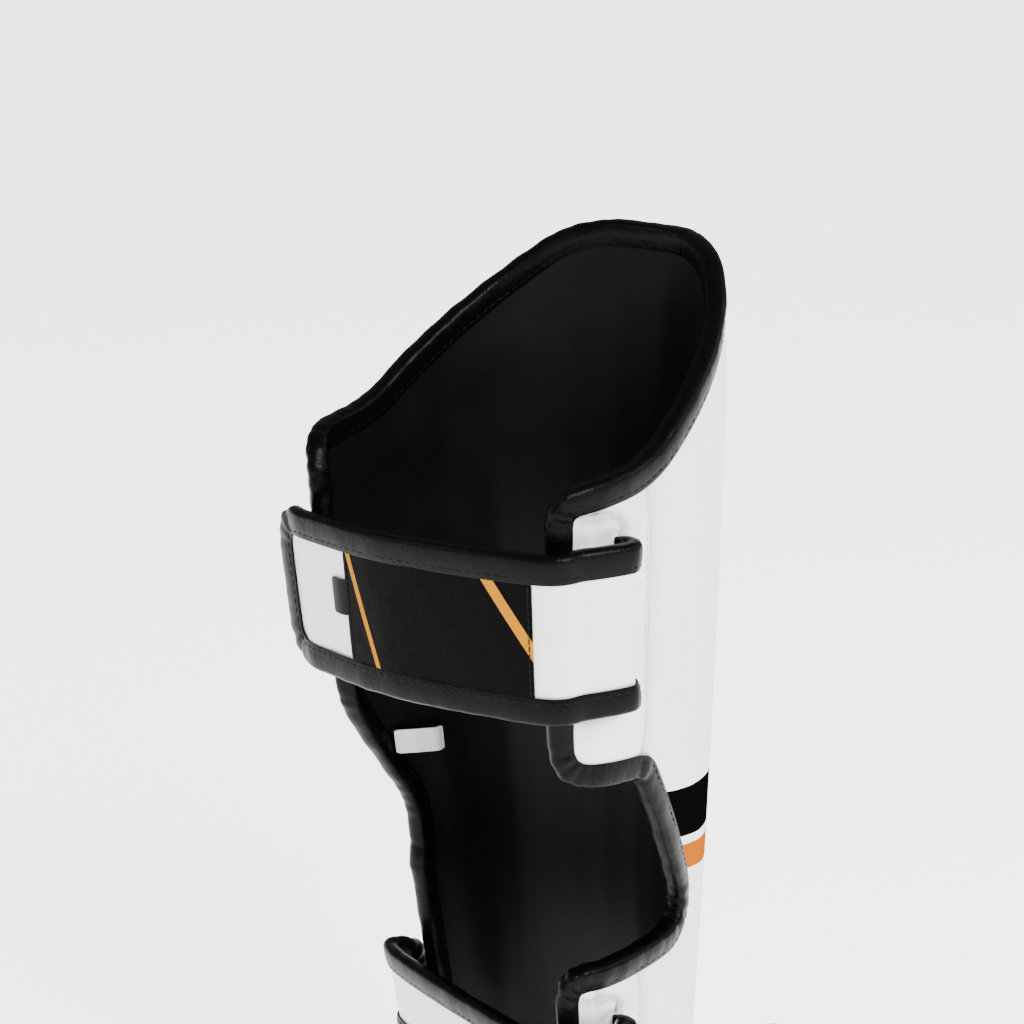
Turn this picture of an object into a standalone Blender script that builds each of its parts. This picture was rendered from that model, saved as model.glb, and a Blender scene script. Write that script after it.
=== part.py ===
"""Shin and instep guard for kick training, standing upright with its open back toward +Y.

The guard is built from flat patterns. Each panel is drawn on the unrolled surface of the shin, the
straps or the instep, scored on a grid, given its thickness and then bent onto that surface.
"""
import math

import bmesh
import bpy
import numpy as np
from mathutils import Matrix, Vector

MM = 0.001
GAP = 0.3 * MM
TAPE_CLEAR = 1.0 * MM
INSTEP_CLEAR = 1.1 * MM

# Heights, stacked from the floor to the knee.
ANKLE_HEIGHT = 92 * MM
ANKLE_HEM = 50 * MM
LOWER_TAB_HEIGHT = 66 * MM
WAIST_HEIGHT = 90 * MM
UPPER_TAB_HEIGHT = 112 * MM
KNEE_RISE = 80 * MM

# Plan of the shin section at the calf.
HALF_WIDTH = 77 * MM
FRONT_DEPTH = 104 * MM
SQUARENESS = 2.2
RIGHT_WING = 48 * MM
RIGHT_WING_CURL = 50
LEFT_WING = 56 * MM
LEFT_WING_CURL = 71
ANKLE_SCALE = 0.73
TAPER_POWER = 1.4

# Outline of the shin section.
KNEE_CREST = 36 * MM
KNEE_DROP = 70 * MM
RIGHT_WAIST = 96 * MM
LEFT_WAIST = 141 * MM
LEFT_LOWER_RIM = 144 * MM
LEFT_SEAM = 122 * MM
RIGHT_CORNER = 13 * MM
LEFT_CORNER = 26 * MM

# Layers of the padded wall, from the outside in.
COVER = 1.2 * MM
FRONT_PAD = 12 * MM
BODY_FOAM = 5.2 * MM
LINING = 1.2 * MM
BINDING = 1.2 * MM
BINDING_LEG = 8 * MM

# Straps.
STRAP_SKIN = 1.3 * MM
STRAP_TAPE = 0.8 * MM
STRAP_CLEAR = 0.7 * MM
STRAP_TAPE_LEG = 9 * MM
FOLD_RADIUS = 3.3 * MM
FASTENER = 1.3 * MM
STRAP_BASE = 2.0 * MM
STRAP_BULGE = 10 * MM
LABEL = 0.6 * MM
UPPER_STRAP_WIDTH = 64 * MM
LOWER_STRAP_WIDTH = 44 * MM
UPPER_STRAP_FALL = 8 * MM
LOWER_STRAP_FALL = 17 * MM
STRAP_OVERLAP = 13 * MM

# Instep section.
INSTEP_LENGTH = 150 * MM
INSTEP_HALF_WIDTH = 52 * MM
INSTEP_PATTERN = 84 * MM
TOE_HEIGHT = 36 * MM
FLAP_REACH = 130 * MM
HINGE_BEAD = 2.2 * MM
FOOT_STRAP_WIDTH = 38 * MM
FOOT_STRAP_THICK = 1.6 * MM

LOWER_TAB_BASE = ANKLE_HEIGHT + ANKLE_HEM
LOWER_TAB_TOP = LOWER_TAB_BASE + LOWER_TAB_HEIGHT
UPPER_TAB_BASE = LOWER_TAB_TOP + WAIST_HEIGHT
UPPER_TAB_TOP = UPPER_TAB_BASE + UPPER_TAB_HEIGHT
KNEE_TOP = UPPER_TAB_TOP + KNEE_RISE
RIM_STACK = COVER + 5 * GAP + BODY_FOAM + LINING

for old in list(bpy.data.objects):
    bpy.data.objects.remove(old)
PARTS = bpy.data.collections.new("shin_instep_guard")
bpy.context.scene.collection.children.link(PARTS)


def material(name, colour, roughness):
    made = bpy.data.materials.new(name)
    made.use_nodes = True
    shader = made.node_tree.nodes["Principled BSDF"]
    shader.inputs["Base Color"].default_value = (*colour, 1)
    shader.inputs["Roughness"].default_value = roughness
    return made


def add_part(name, mesh_data, colour, roughness):
    """Give the finished solid its name, material and place in the collection."""
    bmesh.ops.remove_doubles(mesh_data, verts=mesh_data.verts, dist=0.00002)
    bmesh.ops.recalc_face_normals(mesh_data, faces=mesh_data.faces)
    if mesh_data.calc_volume(signed=True) < 0:
        bmesh.ops.reverse_faces(mesh_data, faces=mesh_data.faces)
    mesh = bpy.data.meshes.new(name)
    mesh_data.to_mesh(mesh)
    mesh_data.free()
    part = bpy.data.objects.new(name, mesh)
    part.data.materials.append(material(name + "_finish", colour, roughness))
    PARTS.objects.link(part)
    return part


def rounded_path(corners, spacing, closed=True):
    """Walk round the corners, each with its own radius, and return evenly spread points."""
    count = len(corners)
    path = []
    for i, (x, y, radius) in enumerate(corners):
        here = Vector((x, y))
        if not closed and i in (0, count - 1):
            path.append(here)
            continue
        before = Vector(corners[i - 1][:2]) - here
        after = Vector(corners[(i + 1) % count][:2]) - here
        half = before.angle(after) / 2
        reach = min(radius / math.tan(half), 0.48 * before.length, 0.48 * after.length)
        start = here + before.normalized() * reach
        end = here + after.normalized() * reach
        steps = max(2, round((math.pi - 2 * half) / math.radians(26)))
        for k in range(steps + 1):
            t = k / steps
            path.append(start.lerp(here, t).lerp(here.lerp(end, t), t))
    spread = []
    pairs = zip(path, path[1:] + path[:1]) if closed else zip(path, path[1:])
    for a, b in pairs:
        pieces = max(1, math.ceil(abs(b.x - a.x) / spacing), math.ceil(abs(b.y - a.y) / (3 * spacing)))
        spread += [a.lerp(b, k / pieces) for k in range(pieces)]
    return spread if closed else spread + [path[-1]]


def pattern(outline, lines_x, lines_y, keep=None):
    """Flat panel cut to the outline and scored on the grid lines, from depth 0 to depth 1."""
    flat = bmesh.new()
    corners = [flat.verts.new((p[0], p[1], 0)) for p in outline]
    edges = [flat.edges.new((a, b)) for a, b in zip(corners, corners[1:] + corners[:1])]
    bmesh.ops.contextual_create(flat, geom=edges)
    if keep:
        for at, sign in ((keep[0], -1), (keep[1], 1)):
            bmesh.ops.bisect_plane(flat, geom=flat.verts[:] + flat.edges[:] + flat.faces[:], dist=1e-6,
                                   plane_co=(at, 0, 0), plane_no=(sign, 0, 0), clear_outer=True)
    for axis, places in (((1, 0, 0), lines_x), ((0, 1, 0), lines_y)):
        for at in places:
            bmesh.ops.bisect_plane(flat, geom=flat.verts[:] + flat.edges[:] + flat.faces[:], dist=1e-6,
                                   plane_co=Vector(axis) * at, plane_no=axis)
    bmesh.ops.triangulate(flat, faces=flat.faces[:], quad_method="FIXED")
    raised = bmesh.ops.extrude_face_region(flat, geom=flat.faces[:])
    for item in raised["geom"]:
        if isinstance(item, bmesh.types.BMVert):
            item.co.z = 1
    return flat


def bend(mesh_data, place, inner=None, outer=None):
    """Lay a flat solid on its surface; panels get the depths of their two faces."""
    for vert in mesh_data.verts:
        x, y, depth = vert.co
        if inner is not None:
            depth = inner(x, y) * (1 - depth) + outer(x, y) * depth
        vert.co = place(x, y, depth)
    return mesh_data


def channel_profile(stack, leg, clear, tape):
    """Closed outline of the folded edge tape: across the rim and over both faces of the panel."""
    near, far = clear, clear + tape
    profile = [(leg, near), (leg, far), (0, far)]
    middle = -stack / 2
    rise = far - middle
    for k in range(1, 4):
        angle = math.pi * k / 4
        profile.append((-far * math.sin(angle), middle + rise * math.cos(angle)))
    profile += [(0, -stack - far), (leg, -stack - far), (leg, -stack - near)]
    return profile + [(-near, -stack - near), (-near, near)]


def edge_tape(outline, profile, place, closed=True):
    """Sweep the tape's section along the outline, with its legs to the left of travel."""
    swept = bmesh.new()
    count = len(outline)
    rings = []
    for i, here in enumerate(outline):
        before = outline[i - 1] if closed or i else here
        after = outline[(i + 1) % count] if closed or i < count - 1 else here
        travel = (after - before).normalized()
        inward = Vector((-travel.y, travel.x))
        rings.append([swept.verts.new(place(*(here + inward * a), depth)) for a, depth in profile])
    size = len(profile)
    steps = count if closed else count - 1
    for i in range(steps):
        ring, following = rings[i], rings[(i + 1) % count]
        for k in range(size):
            swept.faces.new((ring[k], ring[(k + 1) % size], following[(k + 1) % size], following[k]))
    if not closed:
        swept.faces.new(rings[0])
        swept.faces.new(rings[-1])
    return swept


def half_plan(wing, curl):
    """One half of the calf section, from the front middle round to past the wing's rim."""
    points = []
    for k in range(241):
        angle = math.pi / 2 * k / 240
        points.append((HALF_WIDTH * math.sin(angle) ** (2 / SQUARENESS),
                       FRONT_DEPTH * (1 - math.cos(angle) ** (2 / SQUARENESS))))
    x, y = points[-1]
    step = wing / 120
    for k in range(160):
        turn = math.radians(curl) * min(1, (k + 0.5) / 120) ** 2
        x -= math.sin(turn) * step
        y += math.cos(turn) * step
        points.append((x, y))
    return np.array(points)


def plan_table():
    right = half_plan(RIGHT_WING, RIGHT_WING_CURL) * (-1, 1)
    left = half_plan(LEFT_WING, LEFT_WING_CURL)
    whole = np.vstack((right[::-1], left[1:]))
    length = np.concatenate(([0], np.cumsum(np.hypot(*np.diff(whole, axis=0).T))))
    length -= length[len(right) - 1]
    tangent = np.gradient(whole, length, axis=0)
    tangent /= np.linalg.norm(tangent, axis=1)[:, None]
    seam = float(length[len(right) - 1 + 240])
    return length, whole, tangent, seam


LENGTH, PLAN, TANGENT, SEAM = plan_table()
RIGHT_RIM = SEAM + RIGHT_WING
LEFT_RIM = SEAM + LEFT_WING


def taper(z):
    fall = max(0.0, (UPPER_TAB_TOP - z) / (UPPER_TAB_TOP - ANKLE_HEIGHT))
    return 1 - (1 - ANKLE_SCALE) * fall ** TAPER_POWER


def plan_at(s, z):
    """Plan point on the outer face of the shin section and the direction of its outward normal."""
    scale = taper(z)
    at = Vector((np.interp(s, LENGTH, PLAN[:, 0]), np.interp(s, LENGTH, PLAN[:, 1]))) * scale
    tx = np.interp(s, LENGTH, TANGENT[:, 0])
    ty = np.interp(s, LENGTH, TANGENT[:, 1])
    return at, Vector((ty, -tx)).normalized()


def on_shin(s, z, out):
    at, normal = plan_at(s, z)
    at = at + normal * out
    return Vector((at.x, at.y - FRONT_DEPTH, z))


def side_corners(rim, corner, lower_rim, waist_out, waist_in, low_waist, base):
    """Corners of one side of the shin outline, from the knee crest down to the ankle hem."""
    return [(KNEE_CREST, KNEE_TOP, 70 * MM),
            (SEAM, KNEE_TOP - KNEE_DROP, 60 * MM),
            (rim, UPPER_TAB_TOP + 4 * MM, corner),
            (waist_out, UPPER_TAB_BASE, 18 * MM),
            waist_in, low_waist,
            (lower_rim, LOWER_TAB_TOP, 15 * MM),
            (lower_rim, base, 16 * MM),
            (0.62 * SEAM, ANKLE_HEIGHT, 40 * MM)]


RIGHT_SIDE = side_corners(RIGHT_RIM, RIGHT_CORNER, RIGHT_RIM + 2 * MM, RIGHT_RIM + 1 * MM,
                          (SEAM + 1 * MM, UPPER_TAB_BASE - 6 * MM, 9 * MM),
                          (RIGHT_WAIST, LOWER_TAB_TOP - 3 * MM, 16 * MM),
                          LOWER_TAB_BASE - LOWER_STRAP_FALL)
LEFT_SIDE = side_corners(LEFT_RIM, LEFT_CORNER, LEFT_LOWER_RIM, LEFT_RIM - 14 * MM,
                         (LEFT_WAIST, LOWER_TAB_TOP + 0.35 * WAIST_HEIGHT, 60 * MM),
                         (LEFT_WAIST, LOWER_TAB_TOP + 8 * MM, 30 * MM),
                         LOWER_TAB_BASE - LOWER_STRAP_FALL)
SHIN_CORNERS = [(-s, z, r) for s, z, r in RIGHT_SIDE] + [(s, z, r) for s, z, r in reversed(LEFT_SIDE)]
SHIN_OUTLINE = rounded_path(SHIN_CORNERS, 14 * MM)

PAD_HALF = 0.5 * SEAM
PAD_LOW = ANKLE_HEIGHT + 22 * MM
PAD_HIGH = KNEE_TOP - 52 * MM
FRONT_LINES = [SEAM * k / 10 for k in range(11)]
WING_LINES = [SEAM + LEFT_WING * k / 7 for k in range(1, 8)]
S_LINES = sorted({round(sign * s, 7) for s in FRONT_LINES + WING_LINES for sign in (-1, 1)})
Z_LINES = [ANKLE_HEIGHT + (KNEE_TOP - ANKLE_HEIGHT) * k / 9 for k in range(1, 9)] + [PAD_LOW - 9 * MM]


def pad_depth(s, z):
    """Thickness of the dense front pad, full along the shin bone and thin at its sides."""
    across = max(0.0, 1 - (s / (PAD_HALF * 1.06)) ** 2)
    middle = (PAD_LOW + PAD_HIGH) / 2
    along = max(0.0, 1 - ((z - middle) / ((PAD_HIGH - PAD_LOW) / 2 * 1.06)) ** 2)
    return FRONT_PAD * across * along


def pad_outer(s, z):
    return -(COVER + 2 * GAP)


def pad_inner(s, z):
    return pad_outer(s, z) - pad_depth(s, z)


def foam_outer(s, z):
    return pad_inner(s, z) - 2 * GAP


def foam_inner(s, z):
    return foam_outer(s, z) - BODY_FOAM


def lining_outer(s, z):
    return foam_inner(s, z) - GAP


def lining_inner(s, z):
    return lining_outer(s, z) - LINING


def level(value):
    return lambda x, y: value


def shin_panel(name, outline, inner, outer, colour, roughness, keep=None):
    flat = pattern(outline, S_LINES, Z_LINES, keep)
    return add_part(name, bend(flat, on_shin, inner, outer), colour, roughness)


WHITE = (0.82, 0.82, 0.84)
BLACK = (0.02, 0.02, 0.022)
FOAM = (0.12, 0.12, 0.13)
LOOP = (0.05, 0.05, 0.055)

SLIT = GAP / 2
shin_panel("shin_front_cover", SHIN_OUTLINE, level(-COVER), level(0), WHITE, 0.35,
           (-SEAM + SLIT, LEFT_SEAM - SLIT))
shin_panel("left_wing_cover", SHIN_OUTLINE, level(-COVER), level(0), WHITE, 0.35,
           (LEFT_SEAM + SLIT, 1))
RIGHT_UPPER = [p for p in SHIN_OUTLINE if p.x < 0 and p.y > (UPPER_TAB_BASE + LOWER_TAB_TOP) / 2]
RIGHT_LOWER = [p for p in SHIN_OUTLINE if p.x < 0 and p.y < (UPPER_TAB_BASE + LOWER_TAB_TOP) / 2]
shin_panel("right_upper_wing_cover", RIGHT_UPPER, level(-COVER), level(0), WHITE, 0.35,
           (-1, -SEAM - SLIT))
shin_panel("right_lower_wing_cover", RIGHT_LOWER, level(-COVER), level(0), WHITE, 0.35,
           (-1, -SEAM - SLIT))

PAD_OUTLINE = rounded_path([(-PAD_HALF, PAD_LOW, 30 * MM), (PAD_HALF, PAD_LOW, 30 * MM),
                            (PAD_HALF, PAD_HIGH - 40 * MM, 40 * MM), (KNEE_CREST, PAD_HIGH, 40 * MM),
                            (-KNEE_CREST, PAD_HIGH, 40 * MM), (-PAD_HALF, PAD_HIGH - 40 * MM, 40 * MM)],
                           1)
shin_panel("shin_front_pad", PAD_OUTLINE, pad_inner, pad_outer, FOAM, 0.9)
shin_panel("shin_body_foam", SHIN_OUTLINE, foam_inner, foam_outer, (0.3, 0.3, 0.32), 0.9)
shin_panel("shin_lining", SHIN_OUTLINE, lining_inner, lining_outer, BLACK, 0.6)
add_part("shin_edge_binding",
         edge_tape(SHIN_OUTLINE, channel_profile(RIM_STACK, BINDING_LEG, TAPE_CLEAR, BINDING), on_shin), BLACK, 0.45)


def on_path(points, place_height):
    """Surface that follows a plan line; the line may differ at each height."""
    def place(p, q, out):
        height = place_height(p, q)
        line = points(height)
        length = np.concatenate(([0], np.cumsum(np.linalg.norm(np.diff(line, axis=0), axis=1))))
        tangent = np.gradient(line, length, axis=0)
        at = p * length[-1]
        x = np.interp(at, length, line[:, 0])
        y = np.interp(at, length, line[:, 1])
        side = Vector((np.interp(at, length, -tangent[:, 1]), np.interp(at, length, tangent[:, 0])))
        side = side.normalized() * out
        return Vector((x + side.x, y + side.y, height))
    return place


def smooth_line(controls, steps):
    """Curve through the control points, with the first and last only setting the end directions."""
    line = []
    for i in range(1, len(controls) - 2):
        before, start, end, after = controls[i - 1:i + 3]
        for k in range(steps):
            t = k / steps
            line.append(start + (end - before) * (t / 2)
                        + (before * 2 - start * 5 + end * 4 - after) * (t * t / 2)
                        + (start * 3 - before - end * 3 + after) * (t ** 3 / 2))
    return line + [controls[-2]]


STRAP_STACK = 2 * STRAP_SKIN + GAP
HALF_STACK = STRAP_STACK / 2
STRAP_EDGE = HALF_STACK + STRAP_CLEAR + STRAP_TAPE
FOLD_OUT = FOLD_RADIUS + STRAP_EDGE + GAP
LIFT = GAP + STRAP_BASE + GAP + STRAP_EDGE
LANDING = 4 * GAP + 2 * FASTENER + HALF_STACK


def strap_line(fold, right_rim, left_rim, rim_lift, lean):
    """Plan line of a strap: round its fold, over the right rim, across the back, to the left wing."""
    def line(z):
        at, normal = plan_at(-fold, z)
        rimward = Vector((normal.y, -normal.x))
        axis = at + normal * FOLD_OUT
        turn = [axis - normal * (FOLD_RADIUS * math.cos(math.pi * k / 12))
                - rimward * (FOLD_RADIUS * math.sin(math.pi * k / 12)) for k in range(12)]
        over = []
        for s, out in ((-right_rim + 10 * MM, LIFT + 1.5 * MM), (-right_rim - 7 * MM, LIFT + 2 * MM), (left_rim, LANDING + rim_lift)):
            spot, outward = plan_at(s, z)
            over.append(spot + outward * out)
        heading = Vector((outward.y, -outward.x))
        heading.rotate(Matrix.Rotation(math.radians(lean), 2))
        tip = over[2] + heading * STRAP_OVERLAP
        middle = (over[1] + over[2]) / 2 + Vector((0, STRAP_BULGE))
        start = axis + normal * FOLD_RADIUS
        controls = [start - rimward * (12 * MM), start, over[0], over[1], middle,
                    over[2] - heading * (15 * MM), over[2], tip, tip + heading * STRAP_OVERLAP]
        points = turn + smooth_line(controls, 12)
        return np.array([(p.x, p.y - FRONT_DEPTH) for p in points])
    return line


def build_strap(name, fold, right_rim, left_rim, rim_lift, lean, centre, fall, width):
    """Cover, backing, edge tape and hook patch of one strap, laid along its line."""
    line = strap_line(fold, right_rim, left_rim, rim_lift, lean)
    route = line(centre)
    reach = float(np.sum(np.linalg.norm(np.diff(route, axis=0), axis=1)))
    place = on_path(line, lambda p, q: centre - fall * p + q)

    def laid(p, q, out):
        return place(p / reach, q, out)

    half = width / 2
    tip_round = 17 * MM
    outline = rounded_path([(0, -half, 0), (reach, -half, tip_round), (reach, half, tip_round),
                            (0, half, 0)], 12 * MM, False)
    turn = math.pi * FOLD_RADIUS
    bends = (turn, turn + 58 * MM, reach - STRAP_OVERLAP - 30 * MM, reach - tip_round)
    lines_p = [turn * k / 4 for k in range(1, 5)]
    for start, end, spacing in zip(bends, bends[1:], (4.8 * MM, 16 * MM, 5 * MM)):
        cuts = max(1, round((end - start) / spacing))
        lines_p += [start + (end - start) * k / cuts for k in range(1, cuts + 1)]
    lines_p += [reach - STRAP_TAPE_LEG]
    lines_q = [STRAP_TAPE_LEG - half, 0, half - STRAP_TAPE_LEG]
    top = HALF_STACK

    def layer(suffix, low, high, colour, roughness, shape=outline):
        flat = pattern(shape, lines_p, lines_q)
        return add_part(name + suffix, bend(flat, laid, level(low), level(high)), colour, roughness)

    layer("_cover", top - STRAP_SKIN, top, WHITE, 0.35)
    layer("_backing", -top, -top + STRAP_SKIN, BLACK, 0.6)
    low = [Vector((p, -half)) for p in [0] + lines_p if p < reach - 1.1 * tip_round]
    high = [Vector((p.x, half)) for p in reversed(low)]
    tip = [p for p in outline if p.x > reach - 1.02 * tip_round]
    tape_run = low + tip + high
    shape = [(a, depth + top) for a, depth in channel_profile(STRAP_STACK, STRAP_TAPE_LEG, STRAP_CLEAR, STRAP_TAPE)]
    add_part(name + "_binding", edge_tape(tape_run, shape, laid, False), BLACK, 0.45)
    inset = half - STRAP_TAPE_LEG - 5 * MM
    start, end = reach - STRAP_OVERLAP - 6 * MM, reach - STRAP_TAPE_LEG - 3 * MM
    hook = [(start, -inset), (end, -inset), (end, inset), (start, inset)]
    layer("_hook_patch", -top - 2 * GAP - FASTENER, -top - 2 * GAP, LOOP, 0.9, hook)
    return laid, reach, layer


def plain_patch(name, s_low, s_high, z_low, z_high, thick, colour, radius):
    corners = [(s_low, z_low, radius), (s_high, z_low, radius), (s_high, z_high, radius),
               (s_low, z_high, radius)]
    shin_panel(name, rounded_path(corners, 1), level(GAP), level(GAP + thick), colour, 0.85)


UPPER_Z = UPPER_TAB_BASE + 0.55 * UPPER_TAB_HEIGHT
UPPER_FOLD = RIGHT_RIM - 25 * MM
UPPER_LANDING = LEFT_RIM - 9 * MM
upper_laid, upper_reach, upper_layer = build_strap("upper_strap", UPPER_FOLD, RIGHT_RIM, UPPER_LANDING, 2 * MM,
                                                   10, UPPER_Z, UPPER_STRAP_FALL, UPPER_STRAP_WIDTH)
band = UPPER_STRAP_WIDTH / 2 - STRAP_TAPE_LEG - 1 * MM
panel_start, panel_end = upper_reach * 0.29, upper_reach * 0.72
upper_layer("_panel", HALF_STACK + GAP, HALF_STACK + GAP + LABEL, BLACK, 0.4,
            [(panel_start, -band), (panel_end, -band), (panel_end, band), (panel_start, band)])
upper_layer("_size_label", HALF_STACK + GAP, HALF_STACK + GAP + LABEL, BLACK, 0.6,
            [(panel_end + 0.4 * MM, -4 * MM), (panel_end + 9 * MM, -4 * MM),
             (panel_end + 9 * MM, 11 * MM), (panel_end + 0.4 * MM, 11 * MM)])
LOWER_RIM = RIGHT_RIM + 2 * MM
LOWER_Z = LOWER_TAB_TOP - 22 * MM - LOWER_STRAP_WIDTH / 2
LOWER_FOLD = LOWER_RIM - 26 * MM
LOWER_LANDING = LEFT_LOWER_RIM + 2 * MM
build_strap("lower_strap", LOWER_FOLD, LOWER_RIM, LOWER_LANDING, 3 * MM, 12, LOWER_Z,
            LOWER_STRAP_FALL, LOWER_STRAP_WIDTH)

BASE_START = FOLD_RADIUS + STRAP_EDGE + 2 * GAP
for label, fold, rim, middle, width in (("upper", UPPER_FOLD, RIGHT_RIM, UPPER_Z, UPPER_STRAP_WIDTH),
                                        ("lower", LOWER_FOLD, LOWER_RIM, LOWER_Z, LOWER_STRAP_WIDTH)):
    plain_patch(label + "_strap_base", -rim + BINDING_LEG + 2 * MM, -fold - BASE_START / taper(middle),
                middle - width / 2 + 3 * MM, middle + width / 2, STRAP_BASE, WHITE, 4 * MM)
for label, rim, middle, width in (("upper", LEFT_RIM - 13 * MM, UPPER_Z - UPPER_STRAP_FALL, UPPER_STRAP_WIDTH),
                                  ("lower", LEFT_LOWER_RIM, LOWER_Z - LOWER_STRAP_FALL, LOWER_STRAP_WIDTH)):
    plain_patch(label + "_loop_patch", rim - 42 * MM, rim - BINDING_LEG - 2 * MM,
                middle - width / 2 + 8 * MM, middle + width / 2 - 5 * MM, FASTENER, LOOP, 4 * MM)


ANKLE_Y = -FRONT_DEPTH
RIDGE = ANKLE_HEIGHT - TAPE_CLEAR - 2 * BINDING - 4 * GAP - 2 * HINGE_BEAD
INSTEP_STACK = COVER + 2 * GAP + BODY_FOAM + LINING


def instep_skin(a, b):
    """Point on the outer face of the instep section: a runs across it, b forward from the ankle."""
    share = min(1.0, max(0.0, b / INSTEP_LENGTH))
    ridge = TOE_HEIGHT + (RIDGE - TOE_HEIGHT) * (1 - share) ** 1.5
    if b < 0:
        ease = FLAP_REACH / 3
        ridge += 1.5 * (RIDGE - TOE_HEIGHT) / INSTEP_LENGTH * ease * (1 - math.exp(b / ease))
    half = INSTEP_HALF_WIDTH * (1 - 0.10 * share * share)
    square = 2.7 - 0.3 * share
    angle = math.pi / 2 * a / INSTEP_PATTERN
    down = 0.0
    if abs(angle) > math.pi / 2:
        down = (abs(angle) - math.pi / 2) * INSTEP_PATTERN * 2 / math.pi
        angle = math.copysign(math.pi / 2, angle)
    side, rise = math.sin(angle) / half, max(0.0, math.cos(angle)) / ridge
    radius = (abs(side) ** square + rise ** square) ** (-1 / square)
    return Vector((radius * side * half, ANKLE_Y - b, radius * rise * ridge - down))


def on_instep(a, b, out):
    step = 0.4 * MM
    across = instep_skin(a + step, b) - instep_skin(a - step, b)
    along = instep_skin(a, b + step) - instep_skin(a, b - step)
    return instep_skin(a, b) + along.cross(across).normalized() * out


HALF_INSTEP = [(24 * MM, 0, 12 * MM), (INSTEP_PATTERN, -FLAP_REACH, 14 * MM),
               (INSTEP_PATTERN, 0.55 * INSTEP_LENGTH, 30 * MM), (0.5 * INSTEP_PATTERN, INSTEP_LENGTH, 40 * MM)]
INSTEP_CORNERS = [(a, b, r) for a, b, r in HALF_INSTEP] + [(-a, b, r) for a, b, r in reversed(HALF_INSTEP)]
INSTEP_OUTLINE = rounded_path(INSTEP_CORNERS, 6 * MM)
A_LINES = [INSTEP_PATTERN * k / 10 for k in range(-9, 10)]
B_LINES = [INSTEP_LENGTH * k / 5 for k in range(-2, 5)]


def instep_panel(name, inner, outer, colour, roughness):
    flat = pattern(INSTEP_OUTLINE, A_LINES, B_LINES)
    return add_part(name, bend(flat, on_instep, inner, outer), colour, roughness)


FOAM_TOP = -(COVER + GAP)
FOAM_FLOOR = FOAM_TOP - BODY_FOAM
instep_panel("instep_cover", level(-COVER), level(0), WHITE, 0.35)
instep_panel("instep_foam", level(FOAM_FLOOR), level(FOAM_TOP), (0.3, 0.3, 0.32), 0.9)
instep_panel("instep_lining", level(FOAM_FLOOR - GAP - LINING), level(FOAM_FLOOR - GAP), BLACK, 0.6)
add_part("instep_binding",
         edge_tape(INSTEP_OUTLINE, channel_profile(INSTEP_STACK, BINDING_LEG, INSTEP_CLEAR, BINDING), on_instep),
         BLACK, 0.45)

LABEL_LENGTH = 25 * MM
LABEL_WIDTH = 10 * MM
LABEL_Z = UPPER_TAB_BASE - 22 * MM
LABEL_S = LEFT_WAIST + 11 * MM
label_low, label_high = LABEL_Z - LABEL_WIDTH / 2, LABEL_Z + LABEL_WIDTH / 2
shin_panel("care_label", [Vector((LABEL_S - LABEL_LENGTH, label_low)), Vector((LABEL_S, label_low)),
                          Vector((LABEL_S, label_high)), Vector((LABEL_S - LABEL_LENGTH, label_high))],
           level(-RIM_STACK - GAP - LABEL), level(-RIM_STACK - GAP), WHITE, 0.6)

bead = bmesh.new()
turned = Matrix.Translation((0, ANKLE_Y, ANKLE_HEIGHT - TAPE_CLEAR - BINDING - GAP - HINGE_BEAD))
bmesh.ops.create_cone(bead, cap_ends=True, segments=12, radius1=HINGE_BEAD, radius2=HINGE_BEAD, depth=44 * MM,
                      matrix=turned @ Matrix.Rotation(math.pi / 2, 4, "Y"))
add_part("ankle_hinge_bead", bead, BLACK, 0.5)

FOOT_STRAP_Y = 12 * MM
SLING_ARM = 20 * MM
INSTEP_NOSE = INSTEP_CLEAR + BINDING
INNER_HALF = INSTEP_HALF_WIDTH - INSTEP_STACK - BINDING - FOOT_STRAP_THICK - GAP
sling = rounded_path([(-INNER_HALF, SLING_ARM, 0), (-INNER_HALF, -INSTEP_NOSE, 9 * MM),
                      (INNER_HALF, -INSTEP_NOSE, 9 * MM), (INNER_HALF, SLING_ARM, 0)], 12 * MM, False)
sling_line = np.array([tuple(p) for p in sling])
sling_length = float(np.sum(np.linalg.norm(np.diff(sling_line, axis=0), axis=1)))
sling_flat = on_path(lambda height: sling_line, lambda p, q: q)


def on_sling(p, q, out):
    spot = sling_flat(p / sling_length, q, out)
    return Vector((spot.x, ANKLE_Y - FOOT_STRAP_Y - q, spot.y))


half_band = FOOT_STRAP_WIDTH / 2
band_shape = [(0, -half_band), (sling_length, -half_band), (sling_length, half_band), (0, half_band)]
steps = np.cumsum(np.linalg.norm(np.diff(sling_line, axis=0), axis=1))[:-1]
add_part("foot_strap", bend(pattern(band_shape, list(steps), []), on_sling, level(0), level(FOOT_STRAP_THICK)),
         BLACK, 0.7)

finished = list(PARTS.objects)
corners = [vertex.co for part in finished for vertex in part.data.vertices]
low = Vector([min(c[i] for c in corners) for i in range(3)])
high = Vector([max(c[i] for c in corners) for i in range(3)])
shift = Vector((-(low.x + high.x) / 2, -(low.y + high.y) / 2, -low.z))
for part in finished:
    part.data.transform(Matrix.Translation(shift))
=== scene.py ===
"""Dresses the shin and instep guard: sewn leather, lining, edge tape, straps, fasteners and stage."""
import math

import bpy
import numpy as np
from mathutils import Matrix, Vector, kdtree, noise


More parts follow.
